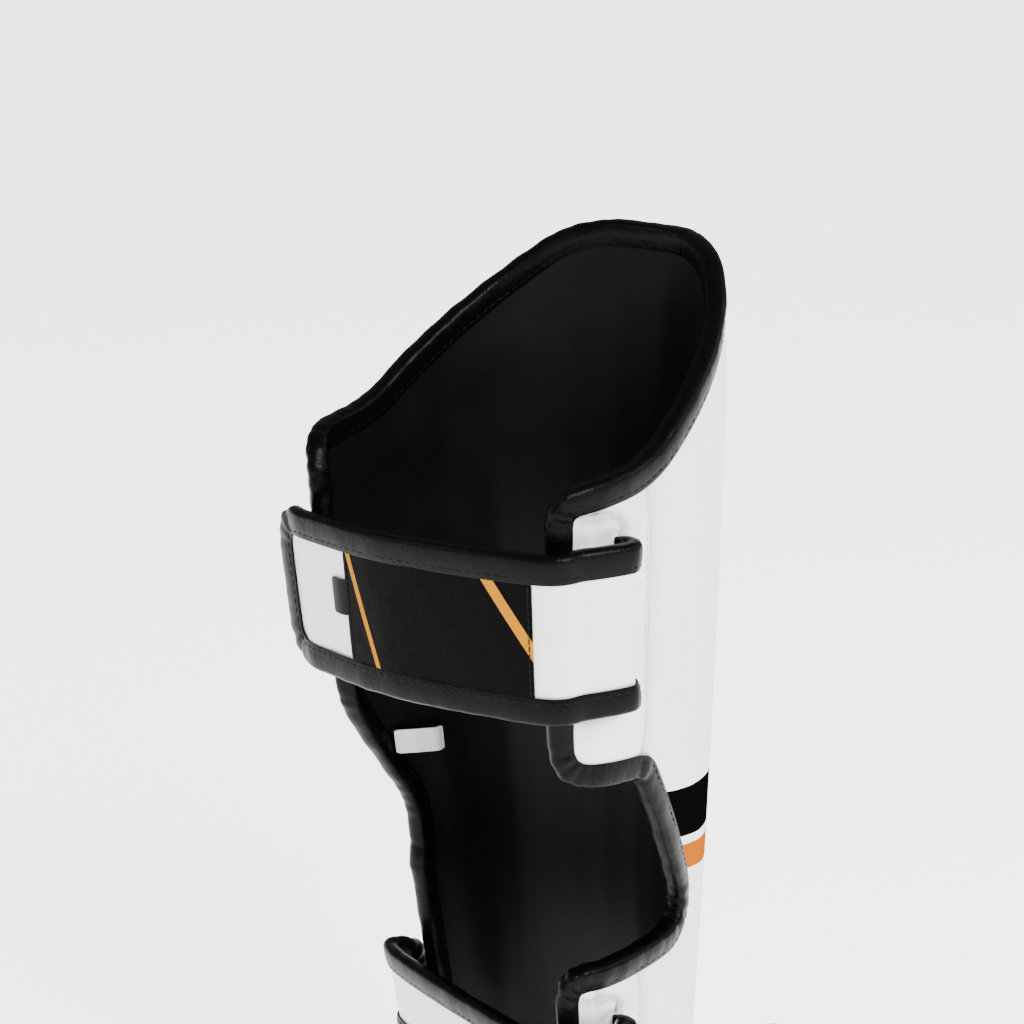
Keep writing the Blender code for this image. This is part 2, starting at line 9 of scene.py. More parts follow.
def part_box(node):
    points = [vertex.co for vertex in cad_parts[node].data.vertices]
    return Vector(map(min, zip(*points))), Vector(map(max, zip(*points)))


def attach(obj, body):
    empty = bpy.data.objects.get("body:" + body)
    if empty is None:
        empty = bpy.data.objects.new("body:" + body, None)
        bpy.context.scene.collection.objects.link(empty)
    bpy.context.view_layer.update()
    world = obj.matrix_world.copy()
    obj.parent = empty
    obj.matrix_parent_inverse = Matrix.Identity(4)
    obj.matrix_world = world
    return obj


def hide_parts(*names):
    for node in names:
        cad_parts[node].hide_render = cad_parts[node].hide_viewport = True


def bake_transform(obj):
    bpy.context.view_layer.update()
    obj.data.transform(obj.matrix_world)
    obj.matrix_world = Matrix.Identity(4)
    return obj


bl_info = {
    "name": "Shin Guard Dressing",
    "version": (1, 0, 0),
    "blender": (4, 5, 0),
    "location": "View3D > Sidebar > Guard",
    "description": "Sews the leather, lining, straps and labels of a shin guard onto its solids",
    "category": "Object",
}

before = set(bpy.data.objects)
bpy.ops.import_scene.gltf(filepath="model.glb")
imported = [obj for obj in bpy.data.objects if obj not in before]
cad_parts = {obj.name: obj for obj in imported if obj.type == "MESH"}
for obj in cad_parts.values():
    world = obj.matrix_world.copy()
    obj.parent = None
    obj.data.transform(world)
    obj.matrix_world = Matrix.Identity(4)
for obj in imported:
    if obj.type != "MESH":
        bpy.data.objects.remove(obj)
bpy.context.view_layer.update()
MM = 0.001
GAP = 0.3 * MM
# Steps along the plan's front, along a wing, past a wing's rim, round a corner and along a strap.
FRONT_STEPS, WING_STEPS, SPARE_STEPS, CURVE_STEPS, STRAP_STEPS = 240, 120, 40, 24, 500
# Where the middle of the shin's plan stands in the frame, and how far the rim tape rises over the outline.
PLAN_ORIGIN = (0.003581, 0.096232)
TAPE_RISE = 2.2 * MM
# How far each strap's fold lies inside its rim, and how far the lower rim stands past the upper.
UPPER_FOLD, LOWER_FOLD, LOWER_OUT = 25 * MM, 26 * MM, 2 * MM
TAPE_SPACING, MERGE_DISTANCE = 1.2 * MM, 0.02 * MM
PANEL_GRID, STRAP_GRID = (4 * MM, 5 * MM), (3 * MM, 4 * MM)
LEATHER, SATIN = 1.1 * MM, 1.0 * MM
SMOOTH_ANGLE = math.radians(50)
# The most of a side that a rounded corner takes up, and the swing of a finish's roughness.
CORNER_SHARE, ROUGH_SWING = 0.48, 0.07
# Middle height at the front, half width and reach to each side of the stripes, in metres.
STRIPE_SLOPE = 0.165
BLACK_STRIPE = (0.2436, 0.0122, 0.129)
ORANGE_STRIPE = (0.2205, 0.0065, 0.111)
# Start, slant and half width of the piping lines, as shares of the strap panel.
GOLD_LINES = ((0.03, 0.15, 0.014), (0.79, 0.36, 0.030))


def length(name, description, millimetres):
    return bpy.props.FloatProperty(name=name, description=description, default=millimetres * MM,
                                   unit="LENGTH", precision=5)


def share(name, description, value):
    return bpy.props.FloatProperty(name=name, description=description, default=value)


def tint(name, description, rgb):
    return bpy.props.FloatVectorProperty(name=name, description=description, default=rgb, size=3,
                                         subtype="COLOR", min=0, max=1)


class GuardSizes(bpy.types.PropertyGroup):
    ankle: length("Ankle height", "Lower hem of the shin section above the floor", 92)
    hem: length("Hem rise", "Height from the ankle hem to the lower tab", 50)
    lower_tab: length("Lower tab", "Height of the lower strap's tab", 66)
    waist: length("Waist", "Height of the cut-out between the tabs", 90)
    upper_tab: length("Upper tab", "Height of the upper strap's tab", 112)
    knee: length("Knee rise", "Height from the upper tab to the knee crest", 80)
    half_width: length("Half width", "Half of the calf section's width", 77)
    depth: length("Depth", "Depth of the calf section up to the side seam", 104)
    squareness: share("Squareness", "Power of the calf section's rounded plan", 2.2)
    right_wing: length("Right wing", "Wing that carries the straps, past its seam", 48)
    left_wing: length("Left wing", "Wing that the straps close on, past its side", 56)
    right_curl: share("Right curl", "Turn of the right wing in degrees", 50)
    left_curl: share("Left curl", "Turn of the left wing in degrees", 71)
    ankle_scale: share("Ankle scale", "Width at the ankle as a share of the calf", 0.73)
    taper_power: share("Taper power", "How the taper gathers toward the ankle", 1.4)
    crest: length("Crest", "Half width of the knee crest", 36)
    drop: length("Drop", "Fall of the knee line at the side", 70)
    right_waist: length("Right waist", "Rim of the right waist from the front", 96)
    left_waist: length("Left waist", "Rim of the left waist from the front", 141)
    left_low: length("Left lower rim", "Rim of the left lower tab from the front", 144)
    left_seam: length("Left seam", "Seam of the left wing from the front", 122)
    wall: length("Wall", "Thickness of the padded wall", 9.1)
    pinch: length("Pinch", "How far each face is drawn in at the sewn rim", 2.2)
    pad: length("Front pad", "Thickness of the dense pad over the shin bone", 12)
    tape_leg: length("Tape leg", "Width of the edge tape on each face", 8)
    stitch_pitch: length("Stitch pitch", "Distance from stitch to stitch", 4.0)
    stitch_length: length("Stitch length", "Length of one stitch", 2.9)
    thread: length("Thread", "Thickness of the sewing thread", 0.6)


class StrapSizes(bpy.types.PropertyGroup):
    upper_width: length("Upper width", "Width of the upper strap", 64)
    lower_width: length("Lower width", "Width of the lower strap", 44)
    upper_fall: length("Upper fall", "Fall of the upper strap toward its tip", 8)
    lower_fall: length("Lower fall", "Fall of the lower strap toward its tip", 17)
    overlap: length("Overlap", "Tip of a strap past the left wing's rim", 13)
    bulge: length("Bulge", "How far a strap bows out behind the calf", 10)
    fold: length("Fold radius", "Radius of the sewn fold at the right wing", 3.3)
    stack: length("Stack", "Thickness of a strap's two skins", 2.9)
    tape_leg: length("Strap tape", "Width of a strap's edge tape", 9)


class InstepSizes(bpy.types.PropertyGroup):
    reach: length("Instep length", "Length of the instep section ahead of the ankle", 150)
    half_width: length("Instep half width", "Half width of the instep section", 52)
    pattern: length("Instep pattern", "Half of the instep's flat width", 84)
    toe: length("Toe height", "Height of the instep at the toes", 36)
    flap: length("Flap reach", "Heel flaps behind the ankle", 130)
    ridge: length("Ridge", "Height of the instep at the ankle", 83.3)
    wall: length("Instep wall", "Thickness of the instep's wall", 8.2)


class GuardColours(bpy.types.PropertyGroup):
    white: tint("White leather", "Covers and strap panels", (0.84, 0.845, 0.855))
    black: tint("Black leather", "Edge tape and strap panel", (0.0016, 0.0016, 0.0019))
    lining: tint("Lining", "Satin lining", (0.0025, 0.0025, 0.0032))
    gold: tint("Gold", "Piping lines on the strap panel", (0.40, 0.165, 0.006))
    orange: tint("Orange", "Stripe round the shin", (0.36, 0.085, 0.004))
    ribbon: tint("Ribbon", "Care label", (0.80, 0.80, 0.80))
    # Painted shade: the grey laid over the white leather in its seams, stitch grooves and pleat valleys.
    groove_shade: tint("Groove", "Shade of the white leather in its grooves", (0.30, 0.30, 0.32))


def sizes():
    return bpy.context.scene.guard_sizes


def straps():
    return bpy.context.scene.guard_straps


def instep():
    return bpy.context.scene.guard_instep


def colours():
    return bpy.context.scene.guard_colours


def smoothstep(low, high, value):
    t = np.clip((value - low) / (high - low), 0, 1)
    return t * t * (3 - 2 * t)


def hump(away, width, power=2):
    """1 where away is nothing, falling to 0 over the width."""
    return np.exp(-(away / width) ** power)


def ripple(points, scale, seed):
    """Smooth noise at each of the points, about -1 to 1."""
    spots = [Vector((p[0] * scale[0] + seed, p[1] * scale[1], seed * 0.7)) for p in points]
    return np.array([noise.noise(spot) for spot in spots])


def run_along(line):
    """Distance travelled to each point of a line."""
    return np.concatenate(([0], np.cumsum(np.linalg.norm(np.diff(line, axis=0), axis=1))))


def interpolate(at, run, values):
    """Every column of the values, read at the distances given."""
    return np.stack([np.interp(at, run, column) for column in values.T], -1)


def unit(vectors):
    return vectors / np.linalg.norm(vectors, axis=1)[:, None]


def left_of(travel):
    """The directions a quarter turn to the left of those given."""
    return np.stack((-travel[:, 1], travel[:, 0]), 1)


def looped(line):
    """The line with its first point again at its end."""
    return np.vstack((line, line[:1]))


def upright(at, low, high, step):
    """Flat points up a line at one place of the pattern."""
    rise = np.arange(low, high, step)
    return np.column_stack((np.full(len(rise), at), rise))


class ShinForm:
    """The unrolled wall of the shin section: s runs round it from the front middle, z up."""

    def __init__(self):
        g = sizes()
        self.low_tab = g.ankle + g.hem
        self.low_top = self.low_tab + g.lower_tab
        self.up_tab = self.low_top + g.waist
        self.up_top = self.up_tab + g.upper_tab
        self.top = self.up_top + g.knee
        right = self.half(g.right_wing, g.right_curl) * (-1, 1)
        left = self.half(g.left_wing, g.left_curl)
        middle = len(right) - 1
        self.plan = np.vstack((right[::-1], left[1:]))
        run = run_along(self.plan)
        self.run = run - run[middle]
        self.tangent = unit(np.gradient(self.plan, self.run, axis=0))
        self.seam = float(self.run[middle + FRONT_STEPS])
        self.right_rim = self.seam + g.right_wing
        self.left_rim = self.seam + g.left_wing
        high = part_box("shin_edge_binding")[1]
        self.shift = np.array((*PLAN_ORIGIN, high.z - self.top - TAPE_RISE))

    def half(self, wing, curl):
        """Half of the plan, from the front middle past the rim of its wing."""
        g = sizes()
        angle = np.linspace(0, math.pi / 2, FRONT_STEPS + 1)
        front = np.stack((g.half_width * np.sin(angle) ** (2 / g.squareness),
                          g.depth * (1 - np.cos(angle).clip(0) ** (2 / g.squareness))), 1)
        part = (np.arange(WING_STEPS + SPARE_STEPS) + 0.5) / WING_STEPS
        turn = math.radians(curl) * np.minimum(1, part) ** 2
        step = np.cumsum(np.stack((-np.sin(turn), np.cos(turn)), 1) * wing / WING_STEPS, axis=0)
        return np.vstack((front, front[-1] + step))

    def taper(self, z):
        g = sizes()
        fall = np.maximum(0, (self.up_top - z) / (self.up_top - g.ankle))
        return 1 - (1 - g.ankle_scale) * fall ** g.taper_power

    def plan_at(self, s, z):
        """Place on the plan and the outward direction there."""
        along = unit(interpolate(s, self.run, self.tangent))
        at = interpolate(s, self.run, self.plan) * self.taper(z)[:, None]
        return at, -left_of(along)

    def place(self, flat, out):
        at, normal = self.plan_at(flat[:, 0], flat[:, 1])
        at = at + normal * np.broadcast_to(out, len(flat))[:, None]
        return np.column_stack((at[:, 0], at[:, 1] - sizes().depth, flat[:, 1])) + self.shift

    def side(self, rim, corner, lower, out, waist_in, low_waist):
        """Corners of one side from the crest to the ankle, each with its radius in millimetres."""
        g = sizes()
        return [(g.crest, self.top, 70), (self.seam, self.top - g.drop, 60),
                (rim, self.up_top + 4 * MM, corner), (out, self.up_tab, 18), waist_in, low_waist,
                (lower, self.low_top, 15), (lower, self.low_tab - straps().lower_fall, 16),
                (0.62 * self.seam, g.ankle, 40)]

    def outline(self):
        g = sizes()
        right = self.side(self.right_rim, 13, self.right_rim + LOWER_OUT, self.right_rim + 1 * MM,
                          (self.seam + 1 * MM, self.up_tab - 6 * MM, 9),
                          (g.right_waist, self.low_top - 3 * MM, 16))
        left = self.side(self.left_rim, 28, g.left_low, self.left_rim - 21 * MM,
                         (g.left_waist, self.low_top + 0.35 * g.waist, 60),
                         (g.left_waist, self.low_top + 8 * MM, 30))
        corners = [(-s, z, r * MM) for s, z, r in right]
        return rounded_path(corners + [(s, z, r * MM) for s, z, r in reversed(left)], 4 * MM)


FORMS = {}


def shin():
    if "shin" not in FORMS:
        FORMS["shin"] = ShinForm()
    return FORMS["shin"]


def rounded_path(corners, spacing, closed=True):
    """Points along the corners, each rounded by its own radius, at even spacing."""
    count = len(corners)
    path = []
    for i, (x, y, radius) in enumerate(corners):
        here = Vector((x, y))
        if radius == 0 or (not closed and i in (0, count - 1)):
            path.append(here)
            continue
        before = Vector(corners[i - 1][:2]) - here
        after = Vector(corners[(i + 1) % count][:2]) - here
        half = before.angle(after) / 2
        reach = min(radius / math.tan(half), CORNER_SHARE * before.length, CORNER_SHARE * after.length)
        start = here + before.normalized() * reach
        end = here + after.normalized() * reach
        for k in range(CURVE_STEPS + 1):
            t = k / CURVE_STEPS
            path.append(start.lerp(here, t).lerp(here.lerp(end, t), t))
    if closed:
        path.append(path[0])
    line = np.array([tuple(p) for p in path])
    run = run_along(line)
    steps = max(4, round(run[-1] / spacing))
    spread = interpolate(np.linspace(0, run[-1], steps + 1), run, line)
    return spread[:-1] if closed else spread


def box_outline(p_low, p_high, q_low, q_high, radius, spacing=3 * MM):
    return rounded_path([(p_low, q_low, radius), (p_high, q_low, radius), (p_high, q_high, radius),
                         (p_low, q_high, radius)], spacing)


def fine_loop(outline):
    """A closed outline at the finer spacing of the folded tape."""
    closed = looped(outline)
    run = run_along(closed)
    steps = round(run[-1] / TAPE_SPACING)
    return interpolate(np.linspace(0, run[-1], steps, endpoint=False), run, closed)


def travel_along(outline, closed):
    """Unit direction of travel at each point of an outline."""
    if closed:
        return unit(np.roll(outline, -1, 0) - np.roll(outline, 1, 0))
    return unit(np.gradient(outline, axis=0))


def offset_line(outline, inset, closed=True):
    """The outline moved to its left by the inset."""
    moved = outline + left_of(travel_along(outline, closed)) * inset
    return looped(moved) if closed else moved


def start_fresh():
    if bpy.context.object and bpy.context.object.mode != "OBJECT":
        bpy.ops.object.mode_set(mode="OBJECT")
    bpy.ops.object.select_all(action="DESELECT")


def pick(obj):
    start_fresh()
    obj.select_set(True)
    bpy.context.view_layer.objects.active = obj


def newest(name):
    """The object that was just added, under its name."""
    made = bpy.context.object
    made.name = name
    return made


def new_grid(name, rows, cols):
    start_fresh()
    bpy.ops.mesh.primitive_grid_add(x_subdivisions=rows - 1, y_subdivisions=cols - 1, size=0.1)
    return newest(name)


def points_of(obj):
    flat = np.empty(len(obj.data.vertices) * 3)
    obj.data.vertices.foreach_get("co", flat)
    return flat.reshape(-1, 3)


def move_points(obj, points):
    obj.data.vertices.foreach_set("co", np.ascontiguousarray(points, dtype=float).ravel())
    obj.data.update()


def write_uv(obj, values):
    """Keeps each point's place on the flat pattern, in metres or shares, as the piece's own UV map."""
    layer = obj.data.uv_layers.active or obj.data.uv_layers.new(name="Pattern")
    corner = np.empty(len(obj.data.loops), dtype=np.int32)
    obj.data.loops.foreach_get("vertex_index", corner)
    layer.data.foreach_set("uv", np.ascontiguousarray(values[corner], dtype=np.float32).ravel())


def score(axis, at, falls=0):
    """Scores the panel across an axis; where falls is -1 or 1, what lies past the line falls away."""
    spot, normal = [0, 0, 0], [0, 0, 0]
    spot[axis], normal[axis] = at, falls or 1
    bpy.ops.mesh.select_all(action="SELECT")
    bpy.ops.mesh.bisect(plane_co=spot, plane_no=normal, clear_outer=bool(falls))


def cut_panel(name, outline, spacing, keep=None):
    """A flat panel cut to its outline and scored on an even grid."""
    start_fresh()
    bpy.ops.mesh.primitive_circle_add(vertices=len(outline), radius=0.1, fill_type="NGON")
    panel = newest(name)
    outline = np.asarray(outline)
    move_points(panel, np.column_stack((outline, np.zeros(len(outline)))))
    bpy.ops.object.mode_set(mode="EDIT")
    low, high = outline.min(0), outline.max(0)
    if keep:
        for at, falls in zip(keep, (-1, 1)):
            score(0, at, falls)
        low[0], high[0] = max(low[0], keep[0]), min(high[0], keep[1])
    for axis in (0, 1):
        steps = max(1, round((high[axis] - low[axis]) / spacing[axis]))
        for k in range(1, steps):
            score(axis, low[axis] + (high[axis] - low[axis]) * k / steps)
    bpy.ops.object.mode_set(mode="OBJECT")
    return panel


def thicken(obj, thickness, offset):
    pick(obj)
    wall = obj.modifiers.new("Wall", "SOLIDIFY")
    wall.thickness = thickness
    wall.offset = offset
    wall.use_even_offset = False
    bpy.ops.object.modifier_apply(modifier=wall.name)


def merge_doubles(obj, cap=False):
    """Joins the points that meet and, if asked, caps the open ends."""
    pick(obj)
    bpy.ops.object.mode_set(mode="EDIT")
    bpy.ops.mesh.select_all(action="SELECT")
    bpy.ops.mesh.remove_doubles(threshold=MERGE_DISTANCE)
    if cap:
        bpy.ops.mesh.fill_holes(sides=0)
        bpy.ops.mesh.normals_make_consistent(inside=False)
    bpy.ops.object.mode_set(mode="OBJECT")


def face_along(obj, direction):
    """Turns the faces so that they point the way that the given vectors do, one for each point."""
    normals = np.empty(len(obj.data.vertices) * 3)
    obj.data.vertices.foreach_get("normal", normals)
    if np.sum(normals.reshape(-1, 3) * direction) < 0:
        obj.data.flip_normals()


def finish_piece(obj, body, slot, look, *nodes):
    """Gives a piece its finish and its body and hides the solids that it stands for; its slot is not used."""
    pick(obj)
    bpy.ops.object.shade_smooth_by_angle(angle=SMOOTH_ANGLE)
    obj.data.materials.clear()
    obj.data.materials.append(finish(look) if isinstance(look, str) else look)
    if body:
        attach(obj, body)
    if nodes:
        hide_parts(*nodes)


def nearest(flat, line):
    """How far each flat point is from the nearest point of a line, and that point's number."""
    tree = kdtree.KDTree(len(line))
    for i, p in enumerate(line):
        tree.insert((p[0], p[1], 0), i)
    tree.balance()
    found = [tree.find((p[0], p[1], 0)) for p in flat]
    return np.array([f[2] for f in found]), np.array([f[1] for f in found])


def inside_rim(flat, outline, low, high):
    """0 near the rim of a panel to 1 well inside it, between two distances in millimetres."""
    return smoothstep(low * MM, high * MM, nearest(flat, outline)[0])


def sew_on(name, place, flat, depth, body, colour, pitch=None):
    """A row of stitches along a line on the flat pattern, each a short rounded thread on the cloth."""
    g = sizes()
    pitch = pitch or g.stitch_pitch
    line = place(flat, depth)
    up = unit(place(flat, depth + 1 * MM) - line)
    start_fresh()
    bpy.ops.mesh.primitive_uv_sphere_add(segments=6, ring_count=5, radius=0.5)
    row = newest(name)
    one = points_of(row) * (g.thread, g.thread * 0.8, g.stitch_length)
    faces = [tuple(p.vertices) for p in row.data.polygons]
    run = run_along(line)
    count = max(1, int(run[-1] / pitch))
    middle = (np.arange(count) + 0.5) * run[-1] / count
    at = interpolate(middle, run, line)
    ahead = unit(interpolate(middle + pitch * 0.3, run, line) - at)
    side = unit(np.cross(interpolate(middle, run, up), ahead))
    axes = np.stack((side, np.cross(ahead, side), ahead), 1)
    every = (at[:, None] + one @ axes).reshape(-1, 3)
    row.data.clear_geometry()
    row.data.from_pydata(every.tolist(), [],
                         [tuple(v + k * len(one) for v in f) for k in range(count) for f in faces])
    row.data.update()
    finish_piece(row, body, colour + "_leather", colour + "_thread")


class StrapForm:
    """The flat strap laid along its plan line: p runs from the sewn fold to the tip, q up."""

    def __init__(self, fold, right_rim, left_rim, lean, centre, fall, width, overlap):
        self.fold, self.right_rim, self.left_rim, self.lean = fold, right_rim, left_rim, lean
        self.centre, self.fall, self.width, self.overlap = centre, fall, width, overlap
        self.half_stack = straps().stack / 2
        self.reach = float(run_along(self.line(centre))[-1])
        self.levels = np.linspace(centre - fall - 0.6 * width, centre + 0.6 * width, 30)
        rows = [self.resample(self.line(z)) for z in self.levels]
        self.at, self.side = (np.array(grid) for grid in zip(*rows))

    def line(self, z):
        """The strap's plan line at one height: round its fold, over the calf and onto the left wing."""
        st, form = straps(), shin()
        # Half of the strap with its tape, its height over the right rim and its height on the left wing.
        edge = self.half_stack + 1.5 * MM
        lift = 2 * MM + 2 * GAP + edge
        landing = 4 * GAP + 4.6 * MM + self.half_stack

        def spot(s):
            return (v[0] for v in form.plan_at(np.array([s]), np.array([z])))

        at, normal = spot(-self.fold)
        rimward = np.array((normal[1], -normal[0]))
        axis = at + normal * (st.fold + edge + GAP)
        turn = np.linspace(0, math.pi, CURVE_STEPS, endpoint=False)[:, None]
        roll = axis - normal * st.fold * np.cos(turn) - rimward * st.fold * np.sin(turn)
        over = []
        for s, out in ((10 * MM - self.right_rim, lift + 1.5 * MM), (-self.right_rim - 7 * MM, lift + 2 * MM),
                       (self.left_rim, landing)):
            at, outward = spot(s)
            over.append(at + outward * out)
        ca, sa = math.cos(math.radians(self.lean)), math.sin(math.radians(self.lean))
        hx, hy = outward[1], -outward[0]
        heading = np.array((ca * hx - sa * hy, sa * hx + ca * hy))
        tip = over[2] + heading * self.overlap
        middle = (over[1] + over[2]) / 2 + np.array((0, st.bulge))
        start = axis + normal * st.fold
        controls = [start - rimward * 12 * MM, start, over[0], over[1], middle, over[2] - heading * 15 * MM,
                    over[2], tip, tip + heading * self.overlap]
        points = list(roll)
        for a, b, c, d in zip(controls, controls[1:], controls[2:], controls[3:]):
            for t in np.arange(CURVE_STEPS) / CURVE_STEPS:
                points.append(b + (c - a) * t / 2 + (2 * a - 5 * b + 4 * c - d) * t * t / 2
                              + (3 * b - a - 3 * c + d) * t ** 3 / 2)
        return np.array(points + [controls[-2]]) - (0, sizes().depth) + form.shift[:2]

    def resample(self, line):
        run = run_along(line)
        even = interpolate(np.linspace(0, run[-1], STRAP_STEPS + 1), run, line)
        return even, left_of(travel_along(even, False))

    def place(self, flat, out):
        part = np.clip(flat[:, 0] / self.reach, -0.02, 1.02)
        within = np.clip(part, 0, 1)
        height = self.centre - self.fall * part + flat[:, 1]
        i = within * STRAP_STEPS
        i0 = np.clip(i.astype(int), 0, STRAP_STEPS - 1)
        fi = (i - i0)[:, None]
        j = (height - self.levels[0]) / (self.levels[1] - self.levels[0])
        j = np.clip(j, 0, len(self.levels) - 1.001)
        j0 = j.astype(int)
        fj = (j - j0)[:, None]

        def blend(grid):
            low = grid[j0, i0] * (1 - fi) + grid[j0, i0 + 1] * fi
            high = grid[j0 + 1, i0] * (1 - fi) + grid[j0 + 1, i0 + 1] * fi
            return low * (1 - fj) + high * fj

        side = unit(blend(self.side))
        past = (flat[:, 0] / self.reach - within)[:, None] * self.reach
        at = blend(self.at) - left_of(side) * past + side * np.broadcast_to(out, len(flat))[:, None]
        return np.column_stack((at, height + shin().shift[2]))


def strap_forms():
    """Both straps, drawn a few millimetres off their solids to follow the photo."""
    if "upper" not in FORMS:
        form, st = shin(), straps()
        centre = form.up_tab + 0.55 * sizes().upper_tab + 4 * MM
        FORMS["upper"] = StrapForm(form.right_rim - UPPER_FOLD, form.right_rim, form.left_rim - 5 * MM, 10,
                                   centre, st.upper_fall, st.upper_width, st.overlap - 3 * MM)
        rim = form.right_rim + LOWER_OUT
        centre = form.low_top - 24 * MM - st.lower_width / 2
        FORMS["lower"] = StrapForm(rim - LOWER_FOLD, rim, sizes().left_low + 2 * MM, 12,
                                   centre, st.lower_fall + 2 * MM, st.lower_width, st.overlap - 5 * MM)
    return FORMS["upper"], FORMS["lower"]


class InstepForm:
    """The instep section: a runs across it, b forward from the ankle."""

    def skin(self, a, b):
        n = instep()
        part = np.clip(b / n.reach, 0, 1)
        ridge = n.toe + (n.ridge - n.toe) * (1 - part) ** 1.5
        ease = n.flap / 3
        behind = 1.5 * (n.ridge - n.toe) / n.reach * ease * (1 - np.exp(np.minimum(b, 0) / ease))
        ridge = ridge + np.where(b < 0, behind, 0)
        half = n.half_width * (1 - 0.10 * part * part)
        square = 2.7 - 0.3 * part
        angle = math.pi / 2 * a / n.pattern
        down = np.maximum(0, np.abs(angle) - math.pi / 2) * n.pattern * 2 / math.pi
        angle = np.clip(angle, -math.pi / 2, math.pi / 2)
        across, rise = np.sin(angle) / half, np.maximum(0, np.cos(angle)) / ridge
        radius = (np.abs(across) ** square + rise ** square) ** (-1 / square)
        return np.stack((radius * across * half, -sizes().depth - b, radius * rise * ridge - down), 1)

    def place(self, flat, out):
        a, b = flat[:, 0], flat[:, 1]
        step = 0.4 * MM
        across = self.skin(a + step, b) - self.skin(a - step, b)
        along = self.skin(a, b + step) - self.skin(a, b - step)
        normal = unit(np.cross(along, across))
        return self.skin(a, b) + normal * np.broadcast_to(out, a.shape)[:, None] + shin().shift

    def outline(self):
        n = instep()
        half = [(24 * MM, 0, 12 * MM), (n.pattern, -n.flap, 14 * MM), (n.pattern, 0.55 * n.reach, 30 * MM),
                (0.5 * n.pattern, n.reach, 40 * MM)]
        return rounded_path(half + [(-a, b, r) for a, b, r in reversed(half)], 4 * MM)


def place_panel(panel, place, depth, thickness, faces=1, grows=-1):
    """Bends a flat panel onto its surface and adds its wall on the side it grows; returns its area."""
    flat = points_of(panel)[:, :2].copy()
    write_uv(panel, flat)
    out = depth(flat) if callable(depth) else depth
    there = place(flat, out)
    move_points(panel, there)
    face_along(panel, (place(flat, out + 1 * MM) - there) * faces)
    area = sum(face.area for face in panel.data.polygons)
    thicken(panel, thickness, grows)
    return area


def sew_panel(name, outline, grid, place, depth, thickness, body, slot, look, *nodes):
    """Cuts, bends and finishes one plain panel."""
    panel = cut_panel(name, outline, grid)
    place_panel(panel, place, depth, thickness)
    finish_piece(panel, body, slot, look, *nodes)
    return panel


def tape_profile(stack, leg, clear, puff, nose):
    """Open section of a folded edge tape, from its outer leg round the rim to its inner leg."""
    outer = [(leg, clear - 0.35 * MM), (leg - 1.0 * MM, clear), (leg - 1.9 * MM, clear + 0.1 * MM),
             (leg * 0.6, clear + 0.8 * puff), (leg * 0.3, clear + puff), (0, clear + 0.9 * puff)]
    rise = stack / 2 + clear + 0.9 * puff
    round_nose = [(-nose * math.sin(math.pi * k / 8), rise * math.cos(math.pi * k / 8) - stack / 2)
                  for k in range(1, 8)]
    inner = [(a, -stack - d) for a, d in reversed(outer)]
    return outer + round_nose + inner


def lay_tape(name, outline, place, stack, leg, section, thickness, closed=True, lift=0.0, bunch=1.0):
    """Folds a tape round a rim and gathers it where the rim turns; section is clear, puff and nose."""
    profile = np.array(tape_profile(stack, leg, *(v * MM for v in section))) + (0, lift)
    line, travel = outline, travel_along(outline, closed)
    if closed:
        line, travel = looped(line), looped(travel)
    rows, cols = len(line), len(profile)
    tape = new_grid(name, rows, cols)
    flat = (line + left_of(travel) * profile[:, 0][:, None, None]).reshape(-1, 2)
    along = np.tile(run_along(line), cols)
    across = np.repeat(np.arange(cols) / (cols - 1), rows)
    change = np.gradient(travel, axis=0)
    turning = travel[:, 0] * change[:, 1] - travel[:, 1] * change[:, 0]
    tight = np.minimum(1, np.abs(np.convolve(turning, np.ones(5) / 5, "same")) * 5)
    there = place(flat, np.repeat(profile[:, 1], rows))
    out = unit(there - np.tile(there.reshape(cols, rows, 3).mean(0), (cols, 1)))
    free = smoothstep(0, 0.22, np.minimum(across, 1 - across))
    if closed:
        free = free * smoothstep(0, 12 * MM, np.minimum(along, along.max() - along))
    folds = np.sin(along / (1.25 * MM) + 2.0 * np.sin(along / (17 * MM)) + across * 4)
    rough = ripple(np.column_stack((along, across)), (130, 2.0), 3.7)
    gathers = (0.8 * MM * np.tile(tight, cols) * folds + 0.5 * MM * rough) * free * bunch
    move_points(tape, there + out * gathers[:, None])
    write_uv(tape, np.column_stack((along, across * (2 * leg + stack))))
    face_along(tape, out)
    if closed:
        merge_doubles(tape)
    thicken(tape, thickness, 1)
    return tape


def add_node(tree, kind, links=None, **values):
    """A node with its properties or inputs set, an underscore standing for a space, and its links."""
    made = tree.nodes.new("ShaderNode" + kind)
    for key, value in values.items():
        if hasattr(made, key):
            setattr(made, key, value)
        else:
            made.inputs[key.replace("_", " ")].default_value = value
    for socket, source in (links or {}).items():
        tree.links.new(source, made.inputs[socket])
    return made


def maths(tree, operation, *operands):
    made = add_node(tree, "Math", operation=operation)
    for socket, value in zip(made.inputs, operands):
        if isinstance(value, (int, float)):
            socket.default_value = value
        else:
            tree.links.new(value, socket)
    return made.outputs[0]


def shared_group(name, inputs, build):
    """The group of that name with float inputs and the outputs Height and Tone, made the first time."""
    group = bpy.data.node_groups.get(name)
    if group:
        return group
    group = bpy.data.node_groups.new(name, "ShaderNodeTree")
    for label, value in inputs.items():
        made = group.interface.new_socket(label, in_out="INPUT", socket_type="NodeSocketFloat")
        made.default_value = value
    for label in ("Height", "Tone"):
        group.interface.new_socket(label, in_out="OUTPUT", socket_type="NodeSocketFloat")
    given, out = group.nodes.new("NodeGroupInput"), group.nodes.new("NodeGroupOutput")
    for socket, source in zip(out.inputs, build(group, given.outputs)):
        group.links.new(source, socket)
    return group


